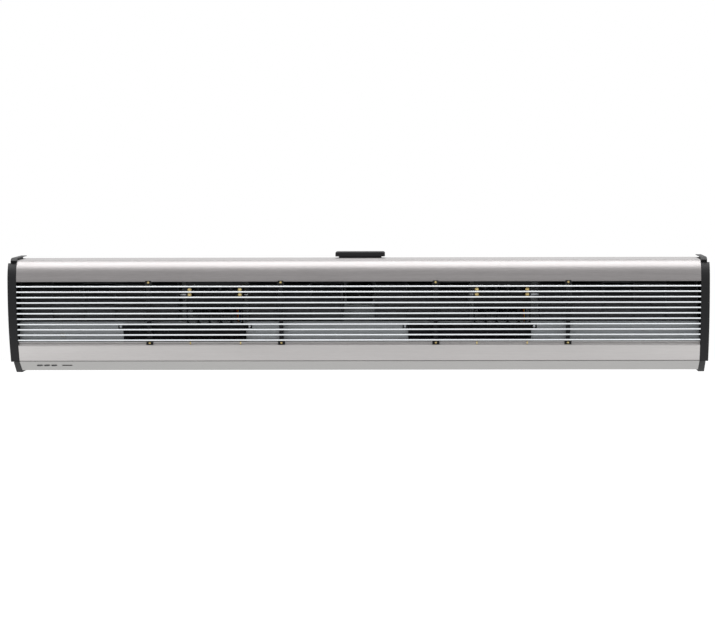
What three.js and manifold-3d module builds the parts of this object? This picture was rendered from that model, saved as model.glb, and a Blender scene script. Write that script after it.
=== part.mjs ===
// A wall-mounted air curtain of the 1200 mm class: a painted shell with a curved grille of polished
// bars in front, two double-ended motors with cross-flow impellers, and an outlet slot below.
// Millimetres. X runs along the case, the front faces -Y, Z is up, and the origin is the centre of
// the wall bracket's rear face. Inside the case frame a point is (x, depth, height): depth counts
// from the foremost front towards the wall, height from the feet of the end caps.
import * as THREE from "three";
import { mergeVertices } from "three/addons/utils/BufferGeometryUtils.js";
import Module from "manifold-3d";

// Overall size and the side outline
const overallLength = 1200; // over the end trims
const overallDepth = 190; // wall plane to the foremost bar
const mountHeight = 120; // centre of the wall bracket above the feet of the caps
const clearance = 0.3; // between pieces that touch
const shellTop = 196; // flat top of the painted shell
const cornerRadius = 32; // upper front corner
const frontRadius = 215; // sweep of the front below the corner
const sheetGauge = 1.5; // painted and galvanised sheet
const cornerHeight = shellTop - cornerRadius; // where the corner meets the front sweep

// End caps and the trims in front of them
const trimWidth = 14.7;
const trimDepth = 12;
const trimWall = 2;
const trimTop = 191.6;
const trimBottom = 20.5;
const capInset = 4; // cap behind the outer face of the trim
const capRise = 4.5; // cap above the shell
const capWall = 4.2; // rim and side plate
const capBack = 0.5; // rear edge of the cap off the wall plane
const capFootDepth = 106; // where the slanted underside of the cap reaches its foot
const capToeReach = 1; // toe of the cap behind the front sweep
const trimInner = overallLength / 2 - trimWidth;
const capOuter = overallLength / 2 - capInset;
const capPocket = capOuter - capWall;
const panelEnd = trimInner - clearance;

// Grille
const slatCount = 11;
const slatPitch = 9.29;
const topSlatHeight = 151.6;
const slatThickness = 3.2;
const slatDepth = 12;
const ribOuterReach = 113; // ribs on either side of each motor
const ribInnerReach = 113.5;
const ribWidth = 7;
const ribFront = 5; // rib behind the sweep of the bars
const ribBack = 19;
const ribTabWidth = 12;
const ribTabHeight = 3;
const ribTabProud = 2; // upper tab in front of its rib
const ribTabLap = 0.8; // lower tab up the rib
const shellLipHeight = 159.4; // rolled lip along the shell's lower edge
const shellLipDepth = 9;
const shellLipRoll = 1.2; // radius of the roll under the shell's front

// Lower front and chin
const panelTop = 50; // painted lower panel
const panelBottom = 22;
const recessTop = 55.5; // recessed strip above the lower panel
const recessInset = 6;
const recessFlange = 8;
const recessStep = 0.4; // fall of the ledge under the recessed strip
const panelFootDepth = 64; // rear edge of the lower panel's bottom flange
const chinEndDepth = 100;
const chinEndHeight = 3.7;
const outletFront = 112; // rear face of the chin's upturned flange
const chinFlangeTop = 18;

// Keys, receiver window and their board in the chin
const controlSlope = 20.4; // from the chin's front edge, along its slope
const keyInset = 33; // first key off the panel's end
const keyPitch = 12.5;
const keyWidth = 9.6;
const keyHeight = 6;
const keyProud = 0.8;
const keyTravel = 1.2;
const keyFlange = 1;
const keyFlangeThickness = 1.2;
const keyStemWidth = 3;
const windowInset = 80.5; // receiver window off the panel's end
const windowWidth = 17;
const boardOffset = 9; // board behind the chin's outer face
const boardThickness = 1.6;
const keyBoardLength = 76;
const keyBoardFront = -5; // ahead of the keys' middle, along the slope
const keyBoardWidth = 24;
const boardPostWidth = 4;

// Impellers and their drive
const axisDepth = 95;
const axisHeight = 135;
const impellerRadius = 50;
const bladeCount = 12;
const bladeInner = 40;
const bladeOuter = 48.5;
const bladeThickness = 1.3;
const bladeSweep = 0.17; // radians by which a blade's tip leads its root
const impellerSides = 20; // facets round each ring
const ringInner = 38;
const ringThickness = 2.4;
const outerSegments = 5; // drum segments from ring to ring
const innerSegments = 3;
const impellerEndGap = 9.8; // outer impeller off the inner face of the end cap
const innerImpellerEnd = 27.3;
const motorBay = 119.5; // between the two impellers that a motor turns
const motorOffset = 55.5; // middle of the motor off its inner impeller
const hubRadius = 11;
const hubLength = 16;
const shaftRadius = 4;
const shaftGrip = 13; // shaft inside a hub
const shaftEndGap = 1; // end of the shaft off the bottom of its bore
const stubEndGap = 1.5; // end of a stub off the end cap
const stubProud = 0.5; // end of a stub past the centre bearing
const motorRadius = 45;
const motorLength = 83.6;
const motorChamfer = 5;
const motorBossRadius = 12;
const motorBossLength = 5.2;
const armThickness = 2;
const armHeadHalf = 8; // half the height of an arm at the guard
const armWaistReach = 36; // before and behind the axis, where the arm widens
const armWaistLow = 16;
const armWaistHigh = 14;
const armEyeHalf = 22; // half the height of an arm at the motor's boss
const strapAngle = 90; // degrees round the scroll where the strap crosses it
const strapGap = 8.1; // strap in front of the scroll
const strapInset = 0.5; // ends of the strap inside the arms' outer faces
const strapLow = 10; // edges of the strap below and above the axis
const strapHigh = 8;
const seatLow = 98; // degrees round the scroll between which brackets and pedestal rest on it
const seatHigh = 78;
const endBearingRadius = 15;
const endBearingWidth = 6;
const bearingBossWall = 3.5;
const pedestalHalf = 22;
const pedestalHead = 18;
const pedestalNeck = 12;
const pedestalWaistReach = 40;
const centreBearingRadius = 11;
const centreBearingWidth = 7;
const pedestalBore = 8;
const outerImpellerEnd = capPocket - impellerEndGap;
const segmentPitch = (outerImpellerEnd - innerImpellerEnd - motorBay) / (outerSegments + innerSegments);
const innerHubEnd = innerImpellerEnd + innerSegments * segmentPitch;
const outerHubEnd = outerImpellerEnd - outerSegments * segmentPitch;
const motorPlace = innerHubEnd + motorOffset;

// Air path behind the impellers
const scrollStart = 16; // degrees from straight up, towards the wall
const scrollEnd = 100;
const scrollGap = 6; // impeller to scroll at the start
const scrollBack = 23; // widest radius of the scroll off the wall plane
const scrollFootBack = 20; // outlet's rear wall off the wall plane
const scrollTopFront = 88;
const scrollTopRun = 5; // level run before the scroll starts to fall
const housingLipFront = 84;
const housingLipHeight = 20;
const housingFoot = 4; // underside of the rear housing
const stabiliserFace = 61.3;
const tongueHeight = 90.5;
const tongueRun = 10.7; // from the stabiliser's face to the end of its rolled tongue
const tongueFall = 4.5;
const tongueRadius = 2.1;
const ductRise = 6; // lower bend of the stabiliser above the chin's flange
const scrollGrowth = overallDepth - scrollBack - axisDepth - impellerRadius - scrollGap;
const scrollFoot = overallDepth - scrollFootBack;

// Outlet vane
const vaneBack = 48; // pivot off the wall plane
const vaneHeight = 22;
const vaneChord = 32;
const vaneThickness = 3;
const vaneEdge = 1; // thickness along its two edges
const vanePinRadius = 2.5;
const vanePinLength = 5;
const vaneBossRadius = 6;
const vaneEndGap = 2;
const vaneDepth = overallDepth - vaneBack;

// Guards in front of the motors
const guardWidth = 98;
const guardInset = 12.6;
const guardThickness = 1.8;
const guardTop = 163;
const guardBottom = recessTop + clearance;
const guardBar = 3;
const guardColumns = 5;
const guardRows = [[131, 150], [88, 112], [59, 69]];

// Covers over the electrics, in front of the stabiliser
const boxLength = 211;
const leftBoxReach = 159; // start of each cover, to the left of its motor's middle
const rightBoxReach = 161;
const boxStarts = { left: -motorPlace - leftBoxReach, right: motorPlace - rightBoxReach };
const boxTop = 87;
const boxBottom = 50;
const boxInset = ribBack + 2 * clearance; // clear of the ribs in front
const boxWall = 2;
const boxEar = 10;
const boxEarHeight = 8;
const boxEarDrop = 2; // ear below the top of its cover
const capacitorLength = 38;
const capacitorHeight = 22;
const capacitorDepth = 10;
const tagReach = 8; // tags either side of the capacitor's middle
const tagWidth = 6;
const tagLength = 7;
const tagFront = 5; // tags off the back of the capacitor
const tagGauge = 0.8;
const controlBoardLength = 84;
const controlBoardHeight = 30;
const relaySize = 14;
const relayPlaces = [-30, -8, 14]; // from the middle of the board
const relayDrop = 4;
const boardPlug = { place: 36, width: 8, depth: 6, drop: 6, height: 18 };

// Mains entry
const coverLength = 86;
const coverDepth = 34;
const coverBack = 6; // rear edge of the cover off the wall plane
const coverHeight = 8.6;
const coverFoot = 2.3;
const coverFootInset = 6;
const coverWall = 2;
const entryLength = 60;
const entryDepth = 18;
const terminalLength = 48;
const terminalDepth = 20;
const terminalHeight = 20;
const terminalTop = 190;
const terminalWays = 4;
const terminalRib = 3; // between two wells
const wellFront = 2;
const wellBack = 5;
const wellDepth = 7;
const glandPlace = 75;
const glandHeight = 178;
const glandRadius = 10;
const glandBore = 4.5;
const glandNeck = 8;
const glandFlange = 1.6;

// Wall bracket
const bracketInset = 60; // ends of the plate inside the case's ends
const bracketHeight = 84;
const bracketGauge = 2;
const outerHookInset = 90; // from the end of the plate
const innerHook = 150;
const hookWidth = 20;
const hookHeight = 150;
const hookRise = 10;
const hookSlotSlack = 3;
const hookSlotDrop = 12;
const outerFixingInset = 40; // from the end of the plate
const innerFixing = 180;
const fixingLength = 14;
const fixingWidth = 6;
const fixingRows = [-26, 14];

// Derived places
const shellBack = overallDepth - bracketGauge - clearance; // rear face of the housing
const insideBack = shellBack - sheetGauge - clearance;
const housingTop = shellTop - sheetGauge - clearance;
const keyBoardBack = keyBoardFront + keyBoardWidth;
const boxBack = stabiliserFace - clearance;
const boxCeiling = boxTop - boxWall - clearance;
const bracketEnd = overallLength / 2 - bracketInset;
const bothSides = (...reaches) => reaches.flatMap((reach) => [-reach, reach]).sort((a, b) => a - b);
const ribPlaces = bothSides(motorPlace + ribOuterReach, motorPlace - ribInnerReach);
const hookPlaces = bothSides(bracketEnd - outerHookInset, innerHook);
const fixingPlaces = bothSides(bracketEnd - outerFixingInset, innerFixing);
const keyPlaces = {
  key_off: keyInset - panelEnd,
  key_low: keyInset + keyPitch - panelEnd,
  key_high: keyInset + 2 * keyPitch - panelEnd,
};
const windowPlace = windowInset - panelEnd;

const wasm = await Module();
wasm.setup();

const paint = (color, roughness, metalness) =>
  new THREE.MeshStandardMaterial({ color, roughness, metalness });
const finish = {
  shell: paint(0xa8a5a3, 0.42, 0.55),
  lower: paint(0xbebbba, 0.45, 0.4),
  bar: paint(0xe9ecee, 0.18, 1),
  plastic: paint(0x2b2b2c, 0.5, 0),
  galvanised: paint(0x8d9091, 0.45, 0.9),
  fan: paint(0x202122, 0.55, 0),
  motor: paint(0x3a3b3d, 0.5, 0.7),
  steel: paint(0xb4b6b8, 0.3, 1),
  yellowZinc: paint(0xb89a4a, 0.4, 0.9),
  board: paint(0x24583a, 0.6, 0),
  nylon: paint(0xd9d6cc, 0.6, 0),
  rubber: paint(0x1b1b1b, 0.8, 0),
  lens: paint(0x1a1416, 0.1, 0),
};

const curtain = new THREE.Group();
const caseFrame = new THREE.Group();
caseFrame.position.set(0, -overallDepth, -mountHeight);
curtain.add(caseFrame);

function add(name, geometry, material, frame = caseFrame) {
  const mesh = new THREE.Mesh(geometry, material);
  mesh.name = name;
  frame.add(mesh);
  return mesh;
}

// ---- Solids ----

function solidOf(geometry) {
  const bare = geometry.index ? geometry.toNonIndexed() : geometry.clone();
  bare.deleteAttribute("normal");
  bare.deleteAttribute("uv");
  const merged = mergeVertices(bare, 1e-4);
  const mesh = new wasm.Mesh({
    numProp: 3,
    vertProperties: merged.attributes.position.array,
    triVerts: new Uint32Array(merged.index.array),
  });
  return new wasm.Manifold(mesh);
}

function geometryOf(made) {
  const mesh = made.getMesh();
  const geometry = new THREE.BufferGeometry();
  geometry.setAttribute("position", new THREE.BufferAttribute(mesh.vertProperties, 3));
  geometry.setIndex(new THREE.BufferAttribute(mesh.triVerts, 1));
  geometry.computeVertexNormals();
  return geometry;
}

function join(first, ...more) {
  return geometryOf(more.reduce((sum, next) => sum.add(solidOf(next)), solidOf(first)));
}

function cut(base, ...tools) {
  return geometryOf(tools.reduce((rest, tool) => rest.subtract(solidOf(tool)), solidOf(base)));
}

// A box between two corners.
function block(x0, x1, depth0, depth1, height0, height1) {
  const geometry = new THREE.BoxGeometry(x1 - x0, depth1 - depth0, height1 - height0);
  return geometry.translate((x0 + x1) / 2, (depth0 + depth1) / 2, (height0 + height1) / 2);
}

// A side-view outline of [depth, height] points, drawn out from x0 to x1.
function prism(outline, x0, x1) {
  const shape = new THREE.Shape(outline.map(([depth, height]) => new THREE.Vector2(depth, height)));
  const geometry = new THREE.ExtrudeGeometry(shape, { depth: x1 - x0, bevelEnabled: false });
  const basis = new THREE.Matrix4().makeBasis(
    new THREE.Vector3(0, 1, 0),
    new THREE.Vector3(0, 0, 1),
    new THREE.Vector3(1, 0, 0),
  );
  return geometry.applyMatrix4(basis).translate(x0, 0, 0);
}

// Facets round a turned piece, by its size.
const pinSides = 12;
const smallSides = 16;
const plainSides = 20;
const fineSides = 28;

// A round bar along X.
function rod(x0, x1, radius, depth = axisDepth, height = axisHeight, sides = plainSides) {
  const geometry = new THREE.CylinderGeometry(radius, radius, x1 - x0, sides);
  return geometry.rotateZ(Math.PI / 2).translate((x0 + x1) / 2, depth, height);
}

// A body turned about a line along X, from a closed section of [radius, x] points.
function turned(section, place, depth = axisDepth, height = axisHeight, sides = plainSides) {
  const points = section.map(([radius, along]) => new THREE.Vector2(radius, along));
  points.push(points[0].clone());
  if (THREE.ShapeUtils.isClockWise(points)) points.reverse();
  const geometry = new THREE.LatheGeometry(points, sides);
  return geometry.rotateZ(-Math.PI / 2).translate(place, depth, height);
}

// ---- Side-view outlines ----

// Offsets an open line of points to its left by a distance (to its right where that is negative).
function offsetLine(line, distance) {
  const at = line.map(([depth, height]) => new THREE.Vector2(depth, height));
  return at.map((point, i) => {
    const arriving = (i ? point.clone().sub(at[i - 1]) : at[1].clone().sub(point)).normalize();
    const leaving = (i < at.length - 1 ? at[i + 1].clone().sub(point) : arriving.clone()).normalize();
    const normal = new THREE.Vector2(-arriving.y - leaving.y, arriving.x + leaving.x);
    const scale = distance / (1 + arriving.dot(leaving));
    return [point.x + normal.x * scale, point.y + normal.y * scale];
  });
}

const folded = (line, thickness) => [...line, ...offsetLine(line, thickness).reverse()];

// Points from one height or angle to another, both ends included.
const spread = (from, to, steps, place) =>
  Array.from({ length: steps + 1 }, (_, i) => place(from + ((to - from) * i) / steps));

// Depth of the front sweep at a height, set back by an inset.
const sweepDepth = (height, inset = 0) =>
  frontRadius - Math.sqrt((frontRadius - inset) ** 2 - (cornerHeight - height) ** 2);

const sweep = (inset, from, to, steps) =>
  spread(from, to, steps, (height) => [sweepDepth(height, inset), height]);

// The upper front corner, from an angle above the horizontal down to the front sweep.
const corner = (radius, from, steps) =>
  spread(from, 0, steps, (angle) => [
    cornerRadius - radius * Math.cos(angle),
    cornerHeight + radius * Math.sin(angle),
  ]);

const scrollRadius = (degrees) =>
  impellerRadius + scrollGap + (scrollGrowth * (degrees - scrollStart)) / (scrollEnd - scrollStart);

function scrollPoint(degrees, inset = 0) {
  const angle = (degrees * Math.PI) / 180;
  const radius = scrollRadius(degrees) - inset;
  return [axisDepth + radius * Math.sin(angle), axisHeight + radius * Math.cos(angle)];
}

// ---- Shell ----

function topPanel() {
  const line = [
    [shellBack, shellTop],
    ...corner(cornerRadius, Math.PI / 2, 10),
    ...spread(0, Math.PI / 2, 2, (angle) => [
      shellLipRoll * (1 - Math.cos(angle)),
      shellLipHeight + shellLipRoll * (1 - Math.sin(angle)),
    ]),
    [shellLipDepth, shellLipHeight],
  ];
  const panel = prism(folded(line, sheetGauge), -panelEnd, panelEnd);
  return cut(panel, mainsEntry(shellTop - 2 * sheetGauge, shellTop + 1));
}

// The hole that the mains lead comes through, under its cover.
function mainsEntry(from, to) {
  const front = overallDepth - coverBack - coverDepth / 2 - entryDepth / 2;
  return block(-entryLength / 2, entryLength / 2, front, front + entryDepth, from, to);
}

function rearHousing() {
  const front = scrollFoot + sheetGauge + clearance;
  const line = [
    [front, housingLipHeight],
    [front, housingFoot],
    [shellBack, housingFoot],
    [shellBack, housingTop],
    [housingLipFront, housingTop],
  ];
  const housing = prism(folded(line, sheetGauge), -panelEnd, panelEnd);
  const slots = hookPlaces.map((x) => {
    const half = hookWidth / 2 + hookSlotSlack;
    const top = hookHeight + clearance;
    const bottom = top - hookSlotDrop - bracketGauge;
    return block(x - half, x + half, shellBack - 3 * sheetGauge, shellBack + 1, bottom, top);
  });
  const holeRadius = glandNeck + clearance;
  const glandHole = new THREE.CylinderGeometry(holeRadius, holeRadius, 6 * sheetGauge, plainSides);
  glandHole.translate(glandPlace, shellBack - sheetGauge / 2, glandHeight);
  return cut(housing, mainsEntry(housingTop - 2 * sheetGauge, housingTop + 1), glandHole, ...slots);
}

function lowerFrontPanel() {
  const line = [
    [sweepDepth(recessTop, recessInset) + recessFlange, recessTop],
    [sweepDepth(recessTop, recessInset), recessTop],
    [sweepDepth(panelTop, recessInset), panelTop + recessStep],
    ...sweep(0, panelTop, panelBottom, 6),
    [panelFootDepth, panelBottom],
  ];
  return prism(folded(line, sheetGauge), -panelEnd, panelEnd);
}

// The chin's front edge, and its slope towards the outlet.
const chinFront = [sweepDepth(panelBottom), panelBottom - clearance - sheetGauge];
const chinSlope = Math.atan2(chinFront[1] - chinEndHeight, chinEndDepth - chinFront[0]);
const chinFrame = new THREE.Group();
chinFrame.position.set(
  0,
  chinFront[0] + controlSlope * Math.cos(chinSlope),
  chinFront[1] - controlSlope * Math.sin(chinSlope),
);
chinFrame.rotation.x = -chinSlope;
chinFrame.updateMatrix();
caseFrame.add(chinFrame);

const onChin = (geometry) => geometry.applyMatrix4(chinFrame.matrix);

// In the chin's own frame, height counts inwards from its outer face.
function chinPanel() {
  const line = [
    chinFront,
    [chinEndDepth, chinEndHeight],
    [outletFront, chinEndHeight],
    [outletFront, chinFlangeTop],
  ];
  const panel = prism(folded(line, sheetGauge), -panelEnd, panelEnd);
  const opening = (x, width) => {
    const halfWidth = width / 2 + clearance;
    const halfHeight = keyHeight / 2 + clearance;
    return onChin(block(x - halfWidth, x + halfWidth, -halfHeight, halfHeight, -sheetGauge, 2 * sheetGauge));
  };
  const holes = Object.values(keyPlaces).map((x) => opening(x, keyWidth));
  const posts = keyBoardEnds().map(([from, to]) =>
    onChin(block(from, to, keyBoardFront, keyBoardBack, sheetGauge / 2, boardOffset - clearance)),
  );
  return cut(join(panel, ...posts), ...holes, opening(windowPlace, windowWidth));
}

// Where the two posts carry the key board, at its ends.
function keyBoardEnds() {
  const middle = (keyPlaces.key_off + windowPlace) / 2;
  const half = keyBoardLength / 2;
  return [
    [middle - half, middle - half + boardPostWidth],
    [middle + half - boardPostWidth, middle + half],
  ];
}

// A piece seen through the chin, held from inside by a wider flange.
function chinInsert(width, proud) {
  const inside = sheetGauge + clearance;
  const top = inside + keyFlangeThickness;
  const face = block(-width / 2, width / 2, -keyHeight / 2, keyHeight / 2, -proud, top);
  const halfWidth = width / 2 + keyFlange;
  const halfHeight = keyHeight / 2 + keyFlange;
  const flange = block(-halfWidth, halfWidth, -halfHeight, halfHeight, inside, top);
  return join(face, flange);
}

function key() {
  const stemEnd = boardOffset - keyTravel - 2 * clearance;
  const half = keyStemWidth / 2;
  const stem = block(-half, half, -half, half, sheetGauge, stemEnd);
  return join(chinInsert(keyWidth, keyProud), stem);
}

function keyBoard() {
  const [[from], [, to]] = keyBoardEnds();
  return block(from, to, keyBoardFront, keyBoardBack, boardOffset, boardOffset + boardThickness);
}

// ---- End caps and trims ----

// The cap's outline, or that of the pocket inside its rim.
function capOutline(rim = 0) {
  const back = overallDepth - capBack - rim;
  const top = capRise - rim;
  const behindTrim = trimDepth + clearance + rim;
  const stepAngle = Math.asin((trimTop + clearance - cornerHeight) / cornerRadius) + rim / cornerRadius;
  const toe = rim ? [] : [[sweepDepth(trimBottom) + capToeReach, trimBottom - clearance]];
  return [
    [back, rim],
    [back, shellTop + top],
    ...spread(Math.PI / 2, stepAngle, 4, (angle) => [
      cornerRadius - (cornerRadius + top) * Math.cos(angle),
      cornerHeight + (cornerRadius + top) * Math.sin(angle),
    ]),
    ...corner(cornerRadius - behindTrim, stepAngle, 5),
    ...sweep(behindTrim, cornerHeight, trimBottom, 12).slice(1),
    ...toe,
    [capFootDepth + rim, rim],
  ];
}

function endCap(side) {
  const cap = prism(capOutline(), trimInner, capOuter);
  const pocket = prism(capOutline(capWall), trimInner - 1, capPocket);
  const bearingBoss = rod(trimInner, capOuter - 1, endBearingRadius + bearingBossWall);
  const vaneBoss = rod(trimInner, capOuter - 1, vaneBossRadius, vaneDepth, vaneHeight, smallSides);
  const seatRadius = endBearingRadius + clearance;
  const bearingSeat = rod(trimInner - 1, capPocket, seatRadius, axisDepth, axisHeight, fineSides);
  const pinRadius = vanePinRadius + clearance;
  const pinHole = rod(trimInner - 1, capPocket, pinRadius, vaneDepth, vaneHeight, smallSides);
  const right = cut(join(cut(cap, pocket), bearingBoss, vaneBoss), bearingSeat, pinHole);
  return side > 0 ? right : mirrored(right);
}

// The same piece for the other end, with its faces turned to point out again.
function mirrored(geometry) {
  return geometryOf(solidOf(geometry).mirror([1, 0, 0]));
}

function endTrim(side) {
  const topAngle = Math.asin((trimTop - cornerHeight) / cornerRadius);
  const band = (front, back) => [
    ...corner(cornerRadius - front, topAngle, 5),
    ...sweep(front, cornerHeight, trimBottom, 9).slice(1),
    ...sweep(back, trimBottom, cornerHeight, 9),
    ...corner(cornerRadius - back, topAngle, 5).reverse().slice(1),
  ];
  const trim = prism(band(0, trimDepth), trimInner, overallLength / 2);
  const hollow = prism(band(trimWall, trimDepth + 2), trimInner + trimWall, overallLength / 2 - trimWall);
  const right = cut(trim, hollow);
  return side > 0 ? right : mirrored(right);
}

// ---- Grille ----

const slatHeights = Array.from({ length: slatCount }, (_, i) => topSlatHeight - i * slatPitch);

function slatSection(height, slack = 0) {
  const half = slatThickness / 2 + slack;
  const front = sweepDepth(height) - slack;
  const nose = spread(Math.PI / 2, -Math.PI / 2, 6, (angle) => [
    front + half - half * Math.cos(angle),
    height + half * Math.sin(angle),
  ]);
  const back = front + slatDepth + 2 * slack;
  return [[back, height + half], ...nose, [back, height - half]];
}

function slat(height) {
  return prism(slatSection(height), -panelEnd, panelEnd);
}

// A curved rib behind the bars, notched for each of them, with a wide tab at either end.
function grilleRib(x) {
  const top = shellLipHeight - sheetGauge - clearance;
  const bottom = recessTop + clearance;
  const side = [...sweep(ribFront, top, bottom, 10), ...sweep(ribBack, bottom, top, 10)];
  const rib = prism(side, x - ribWidth / 2, x + ribWidth / 2);
  const tabFoot = top - ribTabHeight;
  const upperTab = prism(
    [...sweep(ribFront - ribTabProud, top, tabFoot, 1), ...sweep(ribBack, tabFoot, top, 1)],
    x - ribTabWidth / 2,
    x + ribTabWidth / 2,
  );
  const tabBack = recessInset - clearance;
  const tabFront = tabBack - sheetGauge;
  const lowTop = bottom + ribTabLap;
  const lowEnd = panelTop + 2 * clearance;
  const lowerTab = prism(
    [...sweep(tabFront, lowTop, lowEnd, 1), ...sweep(tabBack, lowEnd, lowTop, 1)],
    x - ribTabWidth / 2,
    x + ribTabWidth / 2,
  );
  const notches = slatHeights.map((height) =>
    prism(slatSection(height, clearance), x - ribTabWidth, x + ribTabWidth),
  );
  return cut(join(rib, upperTab, lowerTab), ...notches);
}

// ---- Air path ----

function scroll() {
  const top = housingTop - 2 * sheetGauge - clearance;
  const line = [
    [scrollTopFront, top],
    [scrollPoint(scrollStart)[0] - scrollTopRun, top],
    ...spread(scrollStart, scrollEnd, 12, (degrees) => scrollPoint(degrees)),
    [scrollFoot, 2 * housingLipHeight],
    [scrollFoot, 2 * housingFoot],
  ];
  return prism(folded(line, sheetGauge), -panelEnd, panelEnd);
}

// Its upper edge is rolled back over a tongue that keeps the air from turning round with the drum.
function stabiliserPlate() {
  const tongueTurn = Math.atan2(tongueFall, tongueRun);
  const outletWall = outletFront + clearance + sheetGauge;
  const line = [
    [stabiliserFace, panelBottom + sheetGauge + clearance],
    ...spread(0, Math.PI / 2 + tongueTurn, 3, (angle) => [
      stabiliserFace + tongueRadius * (1 - Math.cos(angle)),
      tongueHeight - tongueRadius * (1 - Math.sin(angle)),
    ]),
    [stabiliserFace + tongueRun, tongueHeight - tongueFall],
    [outletWall, chinFlangeTop + ductRise],
    [outletWall, chinEndHeight + clearance],
  ];
  return prism(folded(line, -sheetGauge), -panelEnd, panelEnd);
}

function outletVane() {
  const end = trimInner - vaneEndGap;
  const half = vaneChord / 2;
  const thin = vaneEdge / 2;
  const section = [
    [vaneDepth - thin, vaneHeight - half],
    [vaneDepth + thin, vaneHeight - half],
    [vaneDepth + vaneThickness / 2, vaneHeight],
    [vaneDepth + thin, vaneHeight + half],
    [vaneDepth - thin, vaneHeight + half],
    [vaneDepth - vaneThickness / 2, vaneHeight],
  ];
  const pinEnd = Math.min(trimInner + vanePinLength, capPocket - clearance);
  const pins = rod(-pinEnd, pinEnd, vanePinRadius, vaneDepth, vaneHeight, pinSides);
  return join(prism(section, -end, end), pins);
}

// ---- Impellers and drive ----

function bladeOutline(angle) {
  const half = bladeThickness / 2;
  const middle = spread(bladeInner, bladeOuter, 1, (radius) => {
    const share = (radius - bladeInner) / (bladeOuter - bladeInner);
    const turn = angle + bladeSweep * share;
    return [radius * Math.cos(turn), radius * Math.sin(turn)];
  });
  const outline = [...offsetLine(middle, half), ...offsetLine(middle, -half).reverse()];
  return outline.map(([depth, height]) => [axisDepth + depth, axisHeight + height]);
}

// An impeller from one end plate to the other: a stub on one end turns in a bearing, and a hub at
// the other takes the motor's shaft.
function impeller(stubTip, stubEnd, hubEnd, segments) {
  const low = Math.min(stubEnd, hubEnd);
  const high = Math.max(stubEnd, hubEnd);
  const inward = Math.sign(hubEnd - stubEnd);
  const plate = (x) => rod(x, x + ringThickness, impellerRadius, axisDepth, axisHeight, impellerSides);
  const span = (from, length) => [Math.min(from, from + length), Math.max(from, from + length)];
  const blades = Array.from({ length: bladeCount }, (_, i) =>
    prism(bladeOutline((2 * Math.PI * i) / bladeCount), low + 1, high - 1),
  );
  const rings = Array.from({ length: segments - 1 }, (_, i) => {
    const place = low + ((high - low) * (i + 1)) / segments;
    return turned(ringSection(), place, axisDepth, axisHeight, impellerSides);
  });
  const stub = [stubTip, stubEnd + (inward * hubLength) / 2].sort((a, b) => a - b);
  const whole = join(
    plate(low),
    plate(high - ringThickness),
    rod(...span(stubEnd, inward * hubLength), hubRadius),
    rod(...span(hubEnd, -inward * hubLength), hubRadius),
    rod(...stub, shaftRadius, axisDepth, axisHeight, smallSides),
    ...rings,
    ...blades,
  );
  const boreSpan = span(hubEnd + inward, -inward * (shaftGrip + shaftEndGap + 1));
  return cut(whole, rod(...boreSpan, shaftRadius + clearance, axisDepth, axisHeight, smallSides));
}

const ringSection = () => [
  [ringInner, -ringThickness / 2],
  [impellerRadius, -ringThickness / 2],
  [impellerRadius, ringThickness / 2],
  [ringInner, ringThickness / 2],
];

function motor(place) {
  const half = motorLength / 2;
  const end = half + motorBossLength;
  const bore = shaftRadius + clearance;
  const section = [
    [bore, -end],
    [motorBossRadius, -end],
    [motorBossRadius, -half],
    [motorRadius - motorChamfer, -half],
    [motorRadius, motorChamfer - half],
    [motorRadius, half - motorChamfer],
    [motorRadius - motorChamfer, half],
    [motorBossRadius, half],
    [motorBossRadius, end],
    [bore, end],
  ];
  return turned(section, place);
}

// The rear edge of what rests on the scroll.
const scrollSeat = () => spread(seatLow, seatHigh, 4, (degrees) => scrollPoint(degrees, clearance));

// Two arms with a strap between them: they carry the motor's bosses, stand on the scroll behind,
// and hold the guard in front.
function motorBracket(place) {
  const front = guardInset + guardThickness + clearance;
  const side = [
    ...sweep(front, axisHeight + armHeadHalf, axisHeight - armHeadHalf, 2),
    [axisDepth - armWaistReach, axisHeight - armHeadHalf],
    [axisDepth, axisHeight - armEyeHalf],
    [axisDepth + armWaistReach, axisHeight - armWaistLow],
    ...scrollSeat(),
    [axisDepth + armWaistReach, axisHeight + armWaistHigh],
    [axisDepth, axisHeight + armEyeHalf],
    [axisDepth - armWaistReach, axisHeight + armHeadHalf],
  ];
  const inner = motorLength / 2 + clearance;
  const outer = inner + armThickness;
  const arms = [
    prism(side, place - outer, place - inner),
    prism(side, place + inner, place + outer),
  ];
  const strapDepth = axisDepth + scrollRadius(strapAngle) - strapGap;
  const strap = block(
    place - outer + strapInset,
    place + outer - strapInset,
    strapDepth,
    strapDepth + armThickness,
    axisHeight - strapLow,
    axisHeight + strapHigh,
  );
  const eyeRadius = motorBossRadius + clearance;
  const eye = rod(place - outer - 1, place + outer + 1, eyeRadius, axisDepth, axisHeight, fineSides);
  return cut(join(...arms, strap), eye);
}

// The shaft reaches from the motor into the hubs on both sides.
function motorShaft(side) {
  const ends = [side * (innerHubEnd - shaftGrip), side * (outerHubEnd + shaftGrip)];
  return rod(Math.min(...ends), Math.max(...ends), shaftRadius, axisDepth, axisHeight, smallSides);
}

function bearing(place, radius, width) {
  const bore = shaftRadius + clearance;
  const section = [
    [bore, -width / 2],
    [radius, -width / 2],
    [radius, width / 2],
    [bore, width / 2],
  ];
  return turned(section, place);
}

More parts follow.
